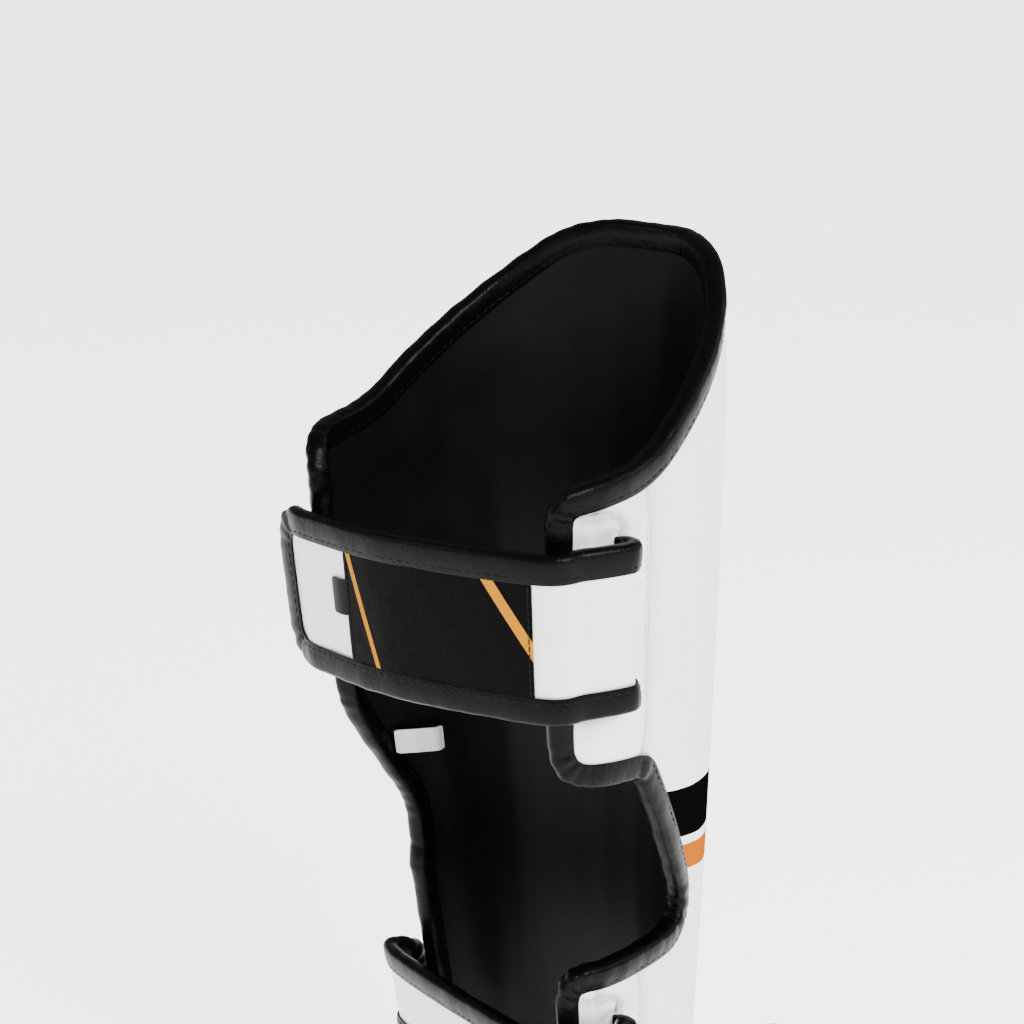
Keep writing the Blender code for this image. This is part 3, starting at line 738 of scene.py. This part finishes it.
def leather_grain(group, given):
    """Pores and soft creases of pressed leather, from the piece's own coordinates."""
    where = add_node(group, "TexCoord").outputs["Object"]
    pores = add_node(group, "TexVoronoi", {"Vector": where, "Scale": given["Pores"]},
                     feature="SMOOTH_F1")
    soft = add_node(group, "TexNoise", {"Vector": where, "Scale": given["Creases"]}, Detail=5.0)
    deep = maths(group, "MULTIPLY", pores.outputs["Distance"], 0.35)
    return maths(group, "ADD", deep, soft.outputs["Fac"]), soft.outputs["Fac"]


def cloth_weave(group, given):
    """Crossing threads on the piece's flat pattern, with slow unevenness."""
    where = add_node(group, "UVMap").outputs["UV"]
    waves = [add_node(group, "TexWave", {"Vector": where, "Scale": given["Threads"]},
                      bands_direction=direction, Distortion=0.6).outputs["Fac"] for direction in "XY"]
    soft = add_node(group, "TexNoise", {"Vector": where, "Scale": given["Unevenness"]}, Detail=4.0)
    return maths(group, "MAXIMUM", *waves), soft.outputs["Fac"]


def paint_over(made, mask, colour, under=None):
    """Lays a colour over the finish, or over a plain colour, where the mask is 1."""
    tree = made.node_tree
    base = tree.nodes["Principled BSDF"].inputs["Base Color"]
    mix = add_node(tree, "Mix", data_type="RGBA")
    mix.inputs[7].default_value = (*colour, 1)
    tree.links.new(mask, mix.inputs[0])
    if under:
        mix.inputs[6].default_value = (*under, 1)
    else:
        tree.links.new(base.links[0].from_socket, mix.inputs[6])
    tree.links.new(mix.outputs[2], base)


def base_finish(name, colour, roughness, group, scales, bump, vary=0.10, specular=0.5, sheen=(0.0, 0.5)):
    """A Principled finish whose tone, roughness and bump follow one of the shared groups."""
    made = bpy.data.materials.new(name)
    made.use_nodes = True
    tree = made.node_tree
    shader = tree.nodes["Principled BSDF"]
    for socket, value in (("Specular IOR Level", specular), ("Sheen Weight", sheen[0]),
                          ("Sheen Roughness", sheen[1])):
        shader.inputs[socket].default_value = value
    effect = add_node(tree, "Group", node_tree=group)
    for socket, value in zip(effect.inputs, scales):
        socket.default_value = value
    tone = {"Value": effect.outputs["Tone"]}
    ramp = add_node(tree, "MapRange", tone, From_Min=0.3, From_Max=0.7)
    paint_over(made, ramp.outputs[0], colour, [c * (1 - vary) for c in colour])
    rough = add_node(tree, "MapRange", tone, To_Min=roughness - ROUGH_SWING,
                     To_Max=roughness + ROUGH_SWING)
    tree.links.new(rough.outputs[0], shader.inputs["Roughness"])
    relief = add_node(tree, "Bump", {"Height": effect.outputs["Height"]}, Strength=bump[0],
                      Distance=bump[1])
    tree.links.new(relief.outputs["Normal"], shader.inputs["Normal"])
    return made


def looks():
    """What base_finish takes for each kind of finish."""
    c = colours()
    grain = shared_group("Leather grain", {"Pores": 1500.0, "Creases": 60.0}, leather_grain)
    weave = shared_group("Cloth weave", {"Threads": 900.0, "Unevenness": 40.0}, cloth_weave)
    dull = (0.006, 0.006, 0.007)
    black_thread = ((0.003, 0.003, 0.0035), 0.5, grain, (3000, 900), (0.3, 0.0002), 0.10, 0.08)
    return {
        "white_leather": (c.white, 0.34, grain, (1300, 45), (0.30, 0.0004), 0.05, 0.2),
        "black_leather": (c.black, 0.34, grain, (1100, 160), (0.5, 0.0006), 0.35, 0.06),
        "satin_lining": (c.lining, 0.48, weave, (420, 25), (0.12, 0.0002), 0.4, 0.08, (0.012, 0.4)),
        "hook_tape": (dull, 0.7, weave, (260, 200), (0.8, 0.0012), 0.10, 0.08),
        "loop_pile": (dull, 0.9, weave, (180, 900), (0.9, 0.0015), 0.5, 0.05, (0.05, 0.5)),
        "elastic": (dull, 0.7, weave, (150, 60), (0.8, 0.0010), 0.3, 0.08),
        "ribbon": (c.ribbon, 0.55, weave, (500, 60), (0.25, 0.0002), 0.06),
        "foam_core": ((0.25, 0.25, 0.27), 0.9, grain, (700, 300), (0.5, 0.001)),
        # The white thread is painted mid grey: painted shade, so the stitches read as dark marks in their
        # sewn groove.
        "white_thread": ((0.55, 0.55, 0.56), 0.6, grain, (3000, 900), (0.3, 0.0002)),
        "black_thread": black_thread,
        "black_ribbon": black_thread,
    }


def finish(kind):
    """The dressed finish of that kind, made the first time it is asked for."""
    name = "dressed_" + kind
    made = bpy.data.materials.get(name)
    if not made:
        made = base_finish(name, *looks()[kind])
        if kind == "white_leather":
            # Painted shade: the white leather is darkened toward the groove colour by the shade kept on each
            # point of the cover.
            groove_shade = add_node(made.node_tree, "Attribute", attribute_name="groove_shade")
            paint_over(made, groove_shade.outputs["Fac"], colours().groove_shade)
    return made


def variant(kind, name, specular):
    """A copy of a finish with its own gloss, and the two axes of its piece's flat pattern."""
    made = finish(kind).copy()
    made.name = name
    tree = made.node_tree
    tree.nodes["Principled BSDF"].inputs["Specular IOR Level"].default_value = specular
    where = add_node(tree, "UVMap").outputs["UV"]
    split = add_node(tree, "SeparateXYZ", {"Vector": where})
    return made, tree, split.outputs["X"], split.outputs["Y"]


def striped_leather():
    """White leather of the front cover with a black and an orange stripe round the shin."""
    c = colours()
    made, tree, s, z = variant("white_leather", "striped_leather", 0.0)
    side = maths(tree, "ABSOLUTE", s)
    slope = maths(tree, "SUBTRACT", z, maths(tree, "MULTIPLY", side, STRIPE_SLOPE))
    for colour, (middle, half, end) in ((c.black, BLACK_STRIPE), (c.orange, ORANGE_STRIPE)):
        stripe = maths(tree, "COMPARE", slope, middle, half)
        paint_over(made, maths(tree, "MULTIPLY", stripe, maths(tree, "LESS_THAN", side, end)), colour)
    return made


def lined_leather():
    """Black leather of the strap panel with two slanted gold piping lines."""
    made, tree, along, up = variant("black_leather", "lined_leather", 0.02)
    fall = maths(tree, "SUBTRACT", 1.0, up)
    for start, slant, half in GOLD_LINES:
        centre = maths(tree, "SUBTRACT", along, maths(tree, "MULTIPLY", fall, slant))
        paint_over(made, maths(tree, "COMPARE", centre, start, half), colours().gold)
    return made


def strap_bases():
    """Each strap with the rim it is sewn at and how far its fold lies inside it."""
    rim = shin().right_rim
    upper, lower = strap_forms()
    return (upper, rim, UPPER_FOLD), (lower, rim + LOWER_OUT, LOWER_FOLD)


def base_ring(strap, rim, fold):
    """The row of stitching round a strap's base on the right wing."""
    edge, far, reach = rim - sizes().tape_leg - 3 * MM, rim - fold - 7 * MM, 14 * MM
    high = strap.centre + strap.width / 2 + reach * 0.72
    low = strap.centre - strap.width / 2 + 3 * MM - reach * 0.62
    corners = [(-edge, high, 0), (-far, high, reach), (-far, low, reach), (-edge, low, 0)]
    return rounded_path(corners, 2 * MM, False)


def pleated(away, spot):
    """Small pleats across a row of stitching, fading out beside it."""
    return np.sin(spot * 0.9 + 1.5 * np.sin(spot * 0.31)) * hump(away, 7 * MM)


class GUARD_OT_covers(bpy.types.Operator):
    """Cut the four white leather covers and crown them over the padding"""
    bl_idname = "guard.covers"
    bl_label = "Covers"

    def execute(self, context):
        g, form = sizes(), shin()
        outline = form.outline()
        rings = [base_ring(*base) for base in strap_bases()]

        def seams(flat):
            return sum(hump(flat[:, 0] - at, 3.0 * MM) for at in (-form.seam, g.left_seam))

        def hollow(flat):
            """Room beside a strap's fold for the strap laid back over the wing."""
            room = np.zeros(len(flat))
            for strap, rim, fold in strap_bases():
                across = hump(-flat[:, 0] - (rim - fold - 7 * MM), 13 * MM, 4)
                room += across * smoothstep(7 * MM, 0, np.abs(flat[:, 1] - strap.centre) - strap.width / 2)
            return room

        def depth(flat):
            inside = inside_rim(flat, outline, 3, 24)
            sides = smoothstep(0.55, 0.9, np.abs(flat[:, 0]) / form.seam)
            creases = ripple(flat, (95, 9), 1.3) * 0.9 * MM * sides
            waves = ripple(flat, (18, 11), 5.1) * 0.5 * MM
            out = (1.0 * MM + g.pinch) * inside - g.pinch + (creases + waves) * inside
            for ring in rings:
                away, spot = nearest(flat, ring)
                out += 0.9 * MM * pleated(away, spot) - 2.0 * MM * hump(away, 1.9 * MM)
            return out - 1.6 * MM * seams(flat) - 2.6 * MM * hollow(flat)

        def painted_groove_shade(flat):
            """Painted shade in the leather's seams, stitch grooves and pleat valleys, 0 to 1."""
            dark = 0.32 * seams(flat)
            for ring in rings:
                away, spot = nearest(flat, ring)
                dark = dark + 0.7 * hump(away, 2.0 * MM) + 0.35 * np.maximum(0, -pleated(away, spot))
            return np.clip(dark, 0, 0.8)

        right = outline[outline[:, 0] < 0]
        split = (form.up_tab + form.low_top) / 2
        hair = 0.1 * MM
        past_seam = (-1, -form.seam - hair)
        fine = (2 * MM, 2 * MM)
        front = (hair - form.seam, g.left_seam - hair)
        for name, edge, keep, grid, node in (
                ("front_cover", outline, front, PANEL_GRID, "shin_front_cover"),
                ("left_cover", outline, (g.left_seam + hair, 1), PANEL_GRID, "left_wing_cover"),
                ("right_upper_cover", right[right[:, 1] > split], past_seam, fine, "right_upper_wing_cover"),
                ("right_lower_cover", right[right[:, 1] < split], past_seam, fine, "right_lower_wing_cover")):
            panel = cut_panel(name, edge, grid, keep)
            # Each point's painted shade in the grooves, kept on the panel for its white leather finish.
            shade = panel.data.attributes.new("groove_shade", "FLOAT", "POINT")
            shade.data.foreach_set("value", painted_groove_shade(points_of(panel)[:, :2]).astype(np.float32))
            place_panel(panel, form.place, depth, LEATHER)
            leather = striped_leather() if name == "front_cover" else "white_leather"
            finish_piece(panel, "shin", "white_leather", leather, node)
        beside = 2.2 * MM
        for name, at, low, high in (
                ("right_upper", -form.seam - beside, form.up_tab + 4 * MM, form.up_top + 8 * MM),
                ("right_lower", -form.seam - beside, form.low_tab - 4 * MM, form.low_top - 6 * MM),
                ("left", g.left_seam + beside, form.low_tab - 8 * MM, form.up_top + 12 * MM)):
            flat = upright(at, low, high, 2 * MM)
            sew_on(name + "_seam_stitches", form.place, flat, depth(flat) + hair, "shin", "white")
        return {"FINISHED"}


def pad_inner(flat):
    """Depth of the lining's outer face behind the foam and the front pad."""
    g, form = sizes(), shin()
    half = 0.5 * form.seam * 1.06
    low, high = g.ankle + 22 * MM, form.top - 52 * MM
    across = np.maximum(0, 1 - (flat[:, 0] / half) ** 2)
    along = np.maximum(0, 1 - ((flat[:, 1] - (low + high) / 2) / ((high - low) / 2 * 1.06)) ** 2)
    cover, foam = 1.2 * MM, 5.2 * MM
    return -(cover + 5 * GAP + foam) - g.pad * across * along


class GUARD_OT_padding(bpy.types.Operator):
    """Fill the wall with its foam core"""
    bl_idname = "guard.padding"
    bl_label = "Padding"

    def execute(self, context):
        core = sew_panel("shin_padding", shin().outline()[::3], (12 * MM, 14 * MM), shin().place, -3.4 * MM,
                         2.4 * MM, "shin", "soft_foam", "foam_core", "shin_front_pad", "shin_body_foam")
        return {"FINISHED"}


class GUARD_OT_lining(bpy.types.Operator):
    """Stretch the satin lining over the inside with its soft upright folds"""
    bl_idname = "guard.lining"
    bl_label = "Lining"

    def execute(self, context):
        g, form = sizes(), shin()
        outline = form.outline()

        def depth(flat):
            folds = ripple(flat, (55, 6), 8.3) * 1.1 * MM + ripple(flat, (20, 9), 2.9) * 1.3 * MM
            inside = inside_rim(flat, outline, 5, 30)
            return pad_inner(flat) - 0.4 * MM + (folds - g.pinch) * inside + g.pinch

        lining = cut_panel("satin_lining", outline, PANEL_GRID)
        area = place_panel(lining, form.place, depth, SATIN, -1, 1)
        finish_piece(lining, "shin", "lining_cloth", "satin_lining", "shin_lining")
        return {"FINISHED"}


class GUARD_OT_rim(bpy.types.Operator):
    """Fold the black edge tape round the rim and sew it down on both faces"""
    bl_idname = "guard.rim"
    bl_label = "Rim tape"

    def execute(self, context):
        g, form = sizes(), shin()
        outline = fine_loop(form.outline())
        tape = lay_tape("rim_tape", outline, form.place, g.wall - 2 * g.pinch, g.tape_leg, (0.6, 0.6, 1.8),
                        0.9 * MM, True, -g.pinch)
        finish_piece(tape, "shin", "black_leather", "black_leather", "shin_edge_binding")
        line = offset_line(outline, g.tape_leg - 1.7 * MM)
        for name, out in (("outer", 1.6 * MM - g.pinch), ("inner", g.pinch - g.wall - 1.6 * MM)):
            sew_on("rim_stitches_" + name, form.place, line, out, "shin", "black")
        return {"FINISHED"}


class GUARD_OT_straps(bpy.types.Operator):
    """Sew both calf straps: leather face, backing, edge tape, hook patch and stitching"""
    bl_idname = "guard.straps"
    bl_label = "Straps"

    def execute(self, context):
        st = straps()
        skin, tip = 1.2 * MM, 17 * MM
        for label, form in zip(("upper", "lower"), strap_forms()):
            body = label + "_strap"
            half, reach, top = form.width / 2, form.reach, form.half_stack
            corners = [(0, -half, 0), (reach, -half, tip), (reach, half, tip), (0, half, 0)]
            outline = rounded_path(corners, 3 * MM)
            sew_panel(body + "_face", outline, STRAP_GRID, form.place,
                      lambda flat: top + 0.35 * MM * ripple(flat, (60, 25), 4.4), skin,
                      body, "white_leather", "white_leather", body + "_cover")
            sew_panel(body + "_lining", outline, STRAP_GRID, form.place, skin - top, skin,
                      body, "lining_cloth", "satin_lining", body + "_backing")
            run = rounded_path(corners, 2 * MM, False)
            tape = lay_tape(body + "_tape", run, form.place, st.stack, st.tape_leg, (0.5, 0.7, 1.6), 0.8 * MM,
                            False, top, 0.8)
            finish_piece(tape, body, "black_leather", "black_leather", body + "_binding")
            line = offset_line(run, st.tape_leg - 1.8 * MM, False)
            for side, out in (("face", top + 1.45 * MM), ("back", -top - 1.45 * MM)):
                sew_on(body + "_stitches_" + side, form.place, line, out, body, "black")
            inset = half - st.tape_leg - 5 * MM
            start, end = reach - st.overlap - 6 * MM, reach - st.tape_leg - 2 * MM
            sew_panel(body + "_hooks", box_outline(start, end, -inset, inset, 3 * MM), (4 * MM, 4 * MM),
                      form.place, -top - 2 * GAP, skin, body, "fastener_tape", "hook_tape",
                      body + "_hook_patch")
        return {"FINISHED"}


class GUARD_OT_strap_panel(bpy.types.Operator):
    """Inset the black panel with its piping lines and the folded size label on the upper strap"""
    bl_idname = "guard.strap_panel"
    bl_label = "Strap panel"

    def execute(self, context):
        form = strap_forms()[0]
        top = form.half_stack
        band = form.width / 2 - straps().tape_leg + 0.5 * MM
        start, end = form.reach * 0.26, form.reach * 0.735
        panel = cut_panel("upper_strap_inset", box_outline(start, end, -band, band, 0), STRAP_GRID)
        place_panel(panel, form.place,
                    lambda flat: top + 0.85 * MM + 0.3 * MM * ripple(flat, (70, 30), 4.4), 0.6 * MM)
        layer = panel.data.uv_layers.active.data
        uv = np.empty(len(layer) * 2, dtype=np.float32)
        layer.foreach_get("uv", uv)
        uv[::2] = (end - uv[::2]) / (end - start)
        uv[1::2] = (uv[1::2] + band) / (2 * band)
        layer.foreach_set("uv", uv)
        finish_piece(panel, "upper_strap", "black_leather", lined_leather(), "upper_strap_panel")
        for name, at in (("start", start + 1.3 * MM), ("end", end - 1.3 * MM)):
            flat = upright(at, -band + 1 * MM, band - 1 * MM, 1 * MM)
            sew_on("upper_strap_inset_stitches_" + name, form.place, flat, top + 0.95 * MM, "upper_strap",
                   "black", 3 * MM)
        reach = 9 * MM
        edge = box_outline(end - 0.5 * MM, end + reach, -4 * MM, 11 * MM, 0.6 * MM, 1.5 * MM)

        def depth(flat):
            t = np.clip((flat[:, 0] - end) / reach, 0, 1)
            return top + 0.6 * MM + 0.9 * MM * np.sin(math.pi * t ** 0.8)

        sew_panel("upper_strap_label", edge, (1.5 * MM, 2 * MM), form.place, depth, 0.5 * MM, "upper_strap",
                  "black_leather", "black_ribbon", "upper_strap_size_label")
        return {"FINISHED"}


class GUARD_OT_fasteners(bpy.types.Operator):
    """Sew the puckered strap bases to the right wing and the loop patches to the left wing"""
    bl_idname = "guard.fasteners"
    bl_label = "Fasteners"

    def execute(self, context):
        form = shin()
        leg = sizes().tape_leg + 2 * MM
        corner = 4 * MM
        for label, (strap, rim, fold) in zip(("upper", "lower"), strap_bases()):
            z, half = strap.centre, strap.width / 2
            inner = rim - fold + 6.9 * MM / float(form.taper(np.array(z)))
            edge = box_outline(leg - rim, -inner, z - half + 3 * MM, z + half, corner)
            sew_panel(label + "_base", edge, (3 * MM, 3 * MM), form.place,
                      lambda flat: 3.1 * MM + ripple(flat, (140, 90), 6.2) * 0.5 * MM, 1.9 * MM,
                      "shin", "white_leather", "white_leather", label + "_strap_base")
            sew_on(label + "_base_stitches", form.place, base_ring(strap, rim, fold), 0.3 * MM, "shin",
                   "white")
        for label, rim, strap in (("upper", form.left_rim - 13 * MM, strap_forms()[0]),
                                  ("lower", sizes().left_low, strap_forms()[1])):
            z, half = strap.centre - strap.fall, strap.width / 2
            edge = box_outline(rim - 42 * MM, rim - leg, z - half + 8 * MM, z + half - 5 * MM, corner)
            sew_panel(label + "_loops", edge, (4 * MM, 4 * MM), form.place, 2.6 * MM, 1.2 * MM, "shin",
                      "fastener_tape", "loop_pile", label + "_loop_patch")
        return {"FINISHED"}


class GUARD_OT_care_label(bpy.types.Operator):
    """Hang the folded ribbon label from the seam inside the left wing"""
    bl_idname = "guard.care_label"
    bl_label = "Care label"

    def execute(self, context):
        form = shin()
        z = form.up_tab - 27 * MM
        s = sizes().left_waist + 12 * MM
        edge = box_outline(s - 31 * MM, s, z - 5.5 * MM, z + 5.5 * MM, 0.5 * MM, 2 * MM)
        label = cut_panel("care_ribbon", edge, (1.5 * MM, 2.5 * MM))
        slanted = points_of(label)
        slanted[:, 1] -= 0.16 * (s - slanted[:, 0])
        move_points(label, slanted)

        def depth(flat):
            t = np.clip((s - flat[:, 0]) / (30 * MM), 0, 1)
            lift = 1.0 * MM + 4.0 * MM * np.sin(math.pi * t * 0.8) ** 2 + 1.2 * MM * np.sin(t * 9) * t
            return pad_inner(flat) - 1.6 * MM - lift

        place_panel(label, form.place, depth, 0.9 * MM, -1)
        finish_piece(label, "shin", "label_ribbon", "ribbon", "care_label")
        return {"FINISHED"}


class GUARD_OT_instep(bpy.types.Operator):
    """Cut, pad, line and bind the instep section and sew its seams"""
    bl_idname = "guard.instep"
    bl_label = "Instep"

    def execute(self, context):
        form, n, leg = InstepForm(), instep(), sizes().tape_leg
        outline = form.outline()

        def depth(flat):
            ribs = hump(np.abs(flat[:, 0]) - 34 * MM, 2.4 * MM) * (flat[:, 1] > -8 * MM)
            crown = 1.6 * MM + ripple(flat, (40, 16), 7.7) * 0.5 * MM - 1.4 * MM * ribs
            return inside_rim(flat, outline, 0, 16) * crown

        def lining_depth(flat):
            folds = ripple(flat, (40, 14), 9.1) * 0.7 * MM
            return 1.2 * MM - n.wall + folds * inside_rim(flat, outline, 5, 25)

        cover = sew_panel("instep_leather", outline, PANEL_GRID, form.place, depth, LEATHER, "instep",
                          "white_leather", "white_leather", "instep_cover")
        core = sew_panel("instep_padding", outline[::2], (10 * MM, 12 * MM), form.place, -1.6 * MM, 4.6 * MM,
                         "instep", "soft_foam", "foam_core", "instep_foam")
        lining = cut_panel("instep_satin", outline, PANEL_GRID)
        area = place_panel(lining, form.place, lining_depth, SATIN, -1, 1)
        finish_piece(lining, "instep", "lining_cloth", "satin_lining", "instep_lining")
        fine = fine_loop(outline)
        tape = lay_tape("instep_tape", fine, form.place, n.wall, leg, (0.7, 0.6, 1.6), 0.7 * MM, bunch=0.7)
        finish_piece(tape, "instep", "black_leather", "black_leather", "instep_binding")
        sew_on("instep_stitches", form.place, offset_line(fine, leg - 1.7 * MM), 1.55 * MM, "instep", "black")
        for label, side in (("right", -1), ("left", 1)):
            flat = upright(side * 36 * MM, 4 * MM, n.reach - 30 * MM, 2 * MM)
            sew_on("instep_seam_" + label, form.place, flat, depth(flat) + 0.1 * MM, "instep", "white")
        return {"FINISHED"}


class GUARD_OT_sling(bpy.types.Operator):
    """Weave the elastic sling that passes under the foot"""
    bl_idname = "guard.sling"
    bl_label = "Foot sling"

    def execute(self, context):
        low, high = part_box("foot_strap")
        thick, turn, cols = 1.5 * MM, 9 * MM, 13
        half = (high.x - low.x) / 2 - thick
        middle = (high.x + low.x) / 2
        base = low.z + thick
        path = rounded_path([(-half, high.z, 0), (-half, base, turn), (half, base, turn), (half, high.z, 0)],
                            2.5 * MM, False)
        rows = len(path)
        band = new_grid("foot_sling", rows, cols)
        x, z = np.tile(path, (cols, 1)).T
        y = np.repeat(np.linspace(low.y, high.y, cols), rows)
        move_points(band, np.column_stack((x + middle, y, z)))
        write_uv(band, np.column_stack((np.tile(run_along(path), cols), y)))
        face_along(band, np.column_stack((x, y * 0, z - 20 * MM)))
        thicken(band, thick, 1)
        finish_piece(band, "instep", "elastic_band", "elastic", "foot_strap")
        return {"FINISHED"}


class GUARD_OT_ankle(bpy.types.Operator):
    """Bridge the shin and the instep with a soft gathered leather gusset"""
    bl_idname = "guard.ankle"
    bl_label = "Ankle gusset"

    def execute(self, context):
        low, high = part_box("ankle_hinge_bead")
        g, form = sizes(), shin()
        half, rows, ring, deep = (high.x - low.x) / 2 + 2 * MM, 72, 20, 3.0 * MM
        gusset = new_grid("ankle_gusset", rows, ring + 1)
        x = half * np.sin(np.linspace(-math.pi / 2, math.pi / 2, rows))
        s = x / float(form.taper(np.array(g.ankle)))
        hem = form.place(np.column_stack((s, np.full(rows, g.ankle))), -g.wall / 2)
        rest = InstepForm().place(np.column_stack((x, np.full(rows, 1 * MM))), 1.6 * MM)
        top, bottom = hem[:, 2] - 0.5 * MM, rest[:, 2] + 0.1 * MM
        end = np.sqrt(np.maximum(0.004, 1 - (np.abs(x) / half) ** 6))
        full = end * (1 - 0.03 * (1 + np.sin(x / (0.75 * MM))))
        turn = np.linspace(0, 2 * math.pi, ring + 1)[:, None]
        y = 0.75 * hem[:, 1] + 0.25 * rest[:, 1] + deep * full * np.cos(turn)
        z = (top + bottom) / 2 + (top - bottom) / 2 * full * np.sin(turn)
        points = np.stack((np.broadcast_to(hem[:, 0], y.shape), y, z), -1).reshape(-1, 3)
        move_points(gusset, points)
        write_uv(gusset, np.column_stack((points[:, 0], np.repeat(turn[:, 0] * deep, rows))))
        merge_doubles(gusset, True)
        finish_piece(gusset, None, "black_leather", "black_leather", "ankle_hinge_bead")
        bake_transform(gusset)
        return {"FINISHED"}


def set_up(context, name, data, place, target):
    """Stands a light or a camera at its place, turned to its target."""
    made = bpy.data.objects.new(name, data)
    context.scene.collection.objects.link(made)
    made.location = place
    made.rotation_euler = (Vector(target) - made.location).to_track_quat("-Z", "Y").to_euler()
    return made


class GUARD_OT_stage(bpy.types.Operator):
    """Set the pale floor, the soft studio lights and the camera"""
    bl_idname = "guard.stage"
    bl_label = "Stage"

    def execute(self, context):
        start_fresh()
        bpy.ops.mesh.primitive_grid_add(x_subdivisions=8, y_subdivisions=8, size=60, location=(0, 0, -0.0005))
        floor = newest("studio_floor")
        pale = bpy.data.materials.new("pale_floor")
        pale.use_nodes = True
        shader = pale.node_tree.nodes["Principled BSDF"]
        for socket, value in (("Base Color", (0.93, 0.93, 0.93, 1)), ("Roughness", 0.9),
                              ("Emission Color", (1, 1, 1, 1)), ("Emission Strength", 3.2)):
            shader.inputs[socket].default_value = value
        floor.data.materials.append(pale)
        world = context.scene.world or bpy.data.worlds.new("Studio")
        context.scene.world = world
        world.use_nodes = True
        sky = world.node_tree.nodes["Background"]
        sky.inputs["Color"].default_value = (1, 1, 1, 1)
        sky.inputs["Strength"].default_value = 0.3
        for name, place, power in (("key_softbox", (-1.6, 0.6, 1.7), 85),
                                   ("fill_softbox", (1.3, 1.5, 1.5), 10),
                                   ("back_softbox", (-1.2, -1.2, 1.4), 14)):
            lamp = bpy.data.lights.new(name, "AREA")
            lamp.size = 1.0
            lamp.energy = power
            set_up(context, name, lamp, place, (0, 0.08, 0.30))
        camera = bpy.data.cameras.new("studio_camera")
        camera.lens = 73.0
        camera.sensor_width = 36
        camera.clip_start = 0.01
        context.scene.camera = set_up(context, "studio_camera", camera, (-0.5150, 0.7052, 0.6252),
                                      (0.0061, 0.0843, 0.3866))
        return {"FINISHED"}


STEPS = (GUARD_OT_stage, GUARD_OT_covers, GUARD_OT_padding, GUARD_OT_lining, GUARD_OT_rim, GUARD_OT_straps,
         GUARD_OT_strap_panel, GUARD_OT_fasteners, GUARD_OT_care_label, GUARD_OT_instep, GUARD_OT_sling,
         GUARD_OT_ankle)


class GUARD_PT_panel(bpy.types.Panel):
    bl_label = "Shin guard"
    bl_idname = "GUARD_PT_panel"
    bl_space_type = "VIEW_3D"
    bl_region_type = "UI"
    bl_category = "Guard"

    def draw(self, context):
        for step in STEPS:
            self.layout.operator(step.bl_idname)


GROUPS = {"guard_sizes": GuardSizes, "guard_straps": StrapSizes, "guard_instep": InstepSizes,
          "guard_colours": GuardColours}
CLASSES = (*GROUPS.values(), *STEPS, GUARD_PT_panel)


def register():
    for item in CLASSES:
        bpy.utils.register_class(item)
    for name, group in GROUPS.items():
        setattr(bpy.types.Scene, name, bpy.props.PointerProperty(type=group))


def unregister():
    for name in GROUPS:
        delattr(bpy.types.Scene, name)
    for item in reversed(CLASSES):
        bpy.utils.unregister_class(item)


def main():
    register()
    for step in STEPS:
        family, action = step.bl_idname.split(".")
        getattr(getattr(bpy.ops, family), action)()


if __name__ == "__main__":
    main()
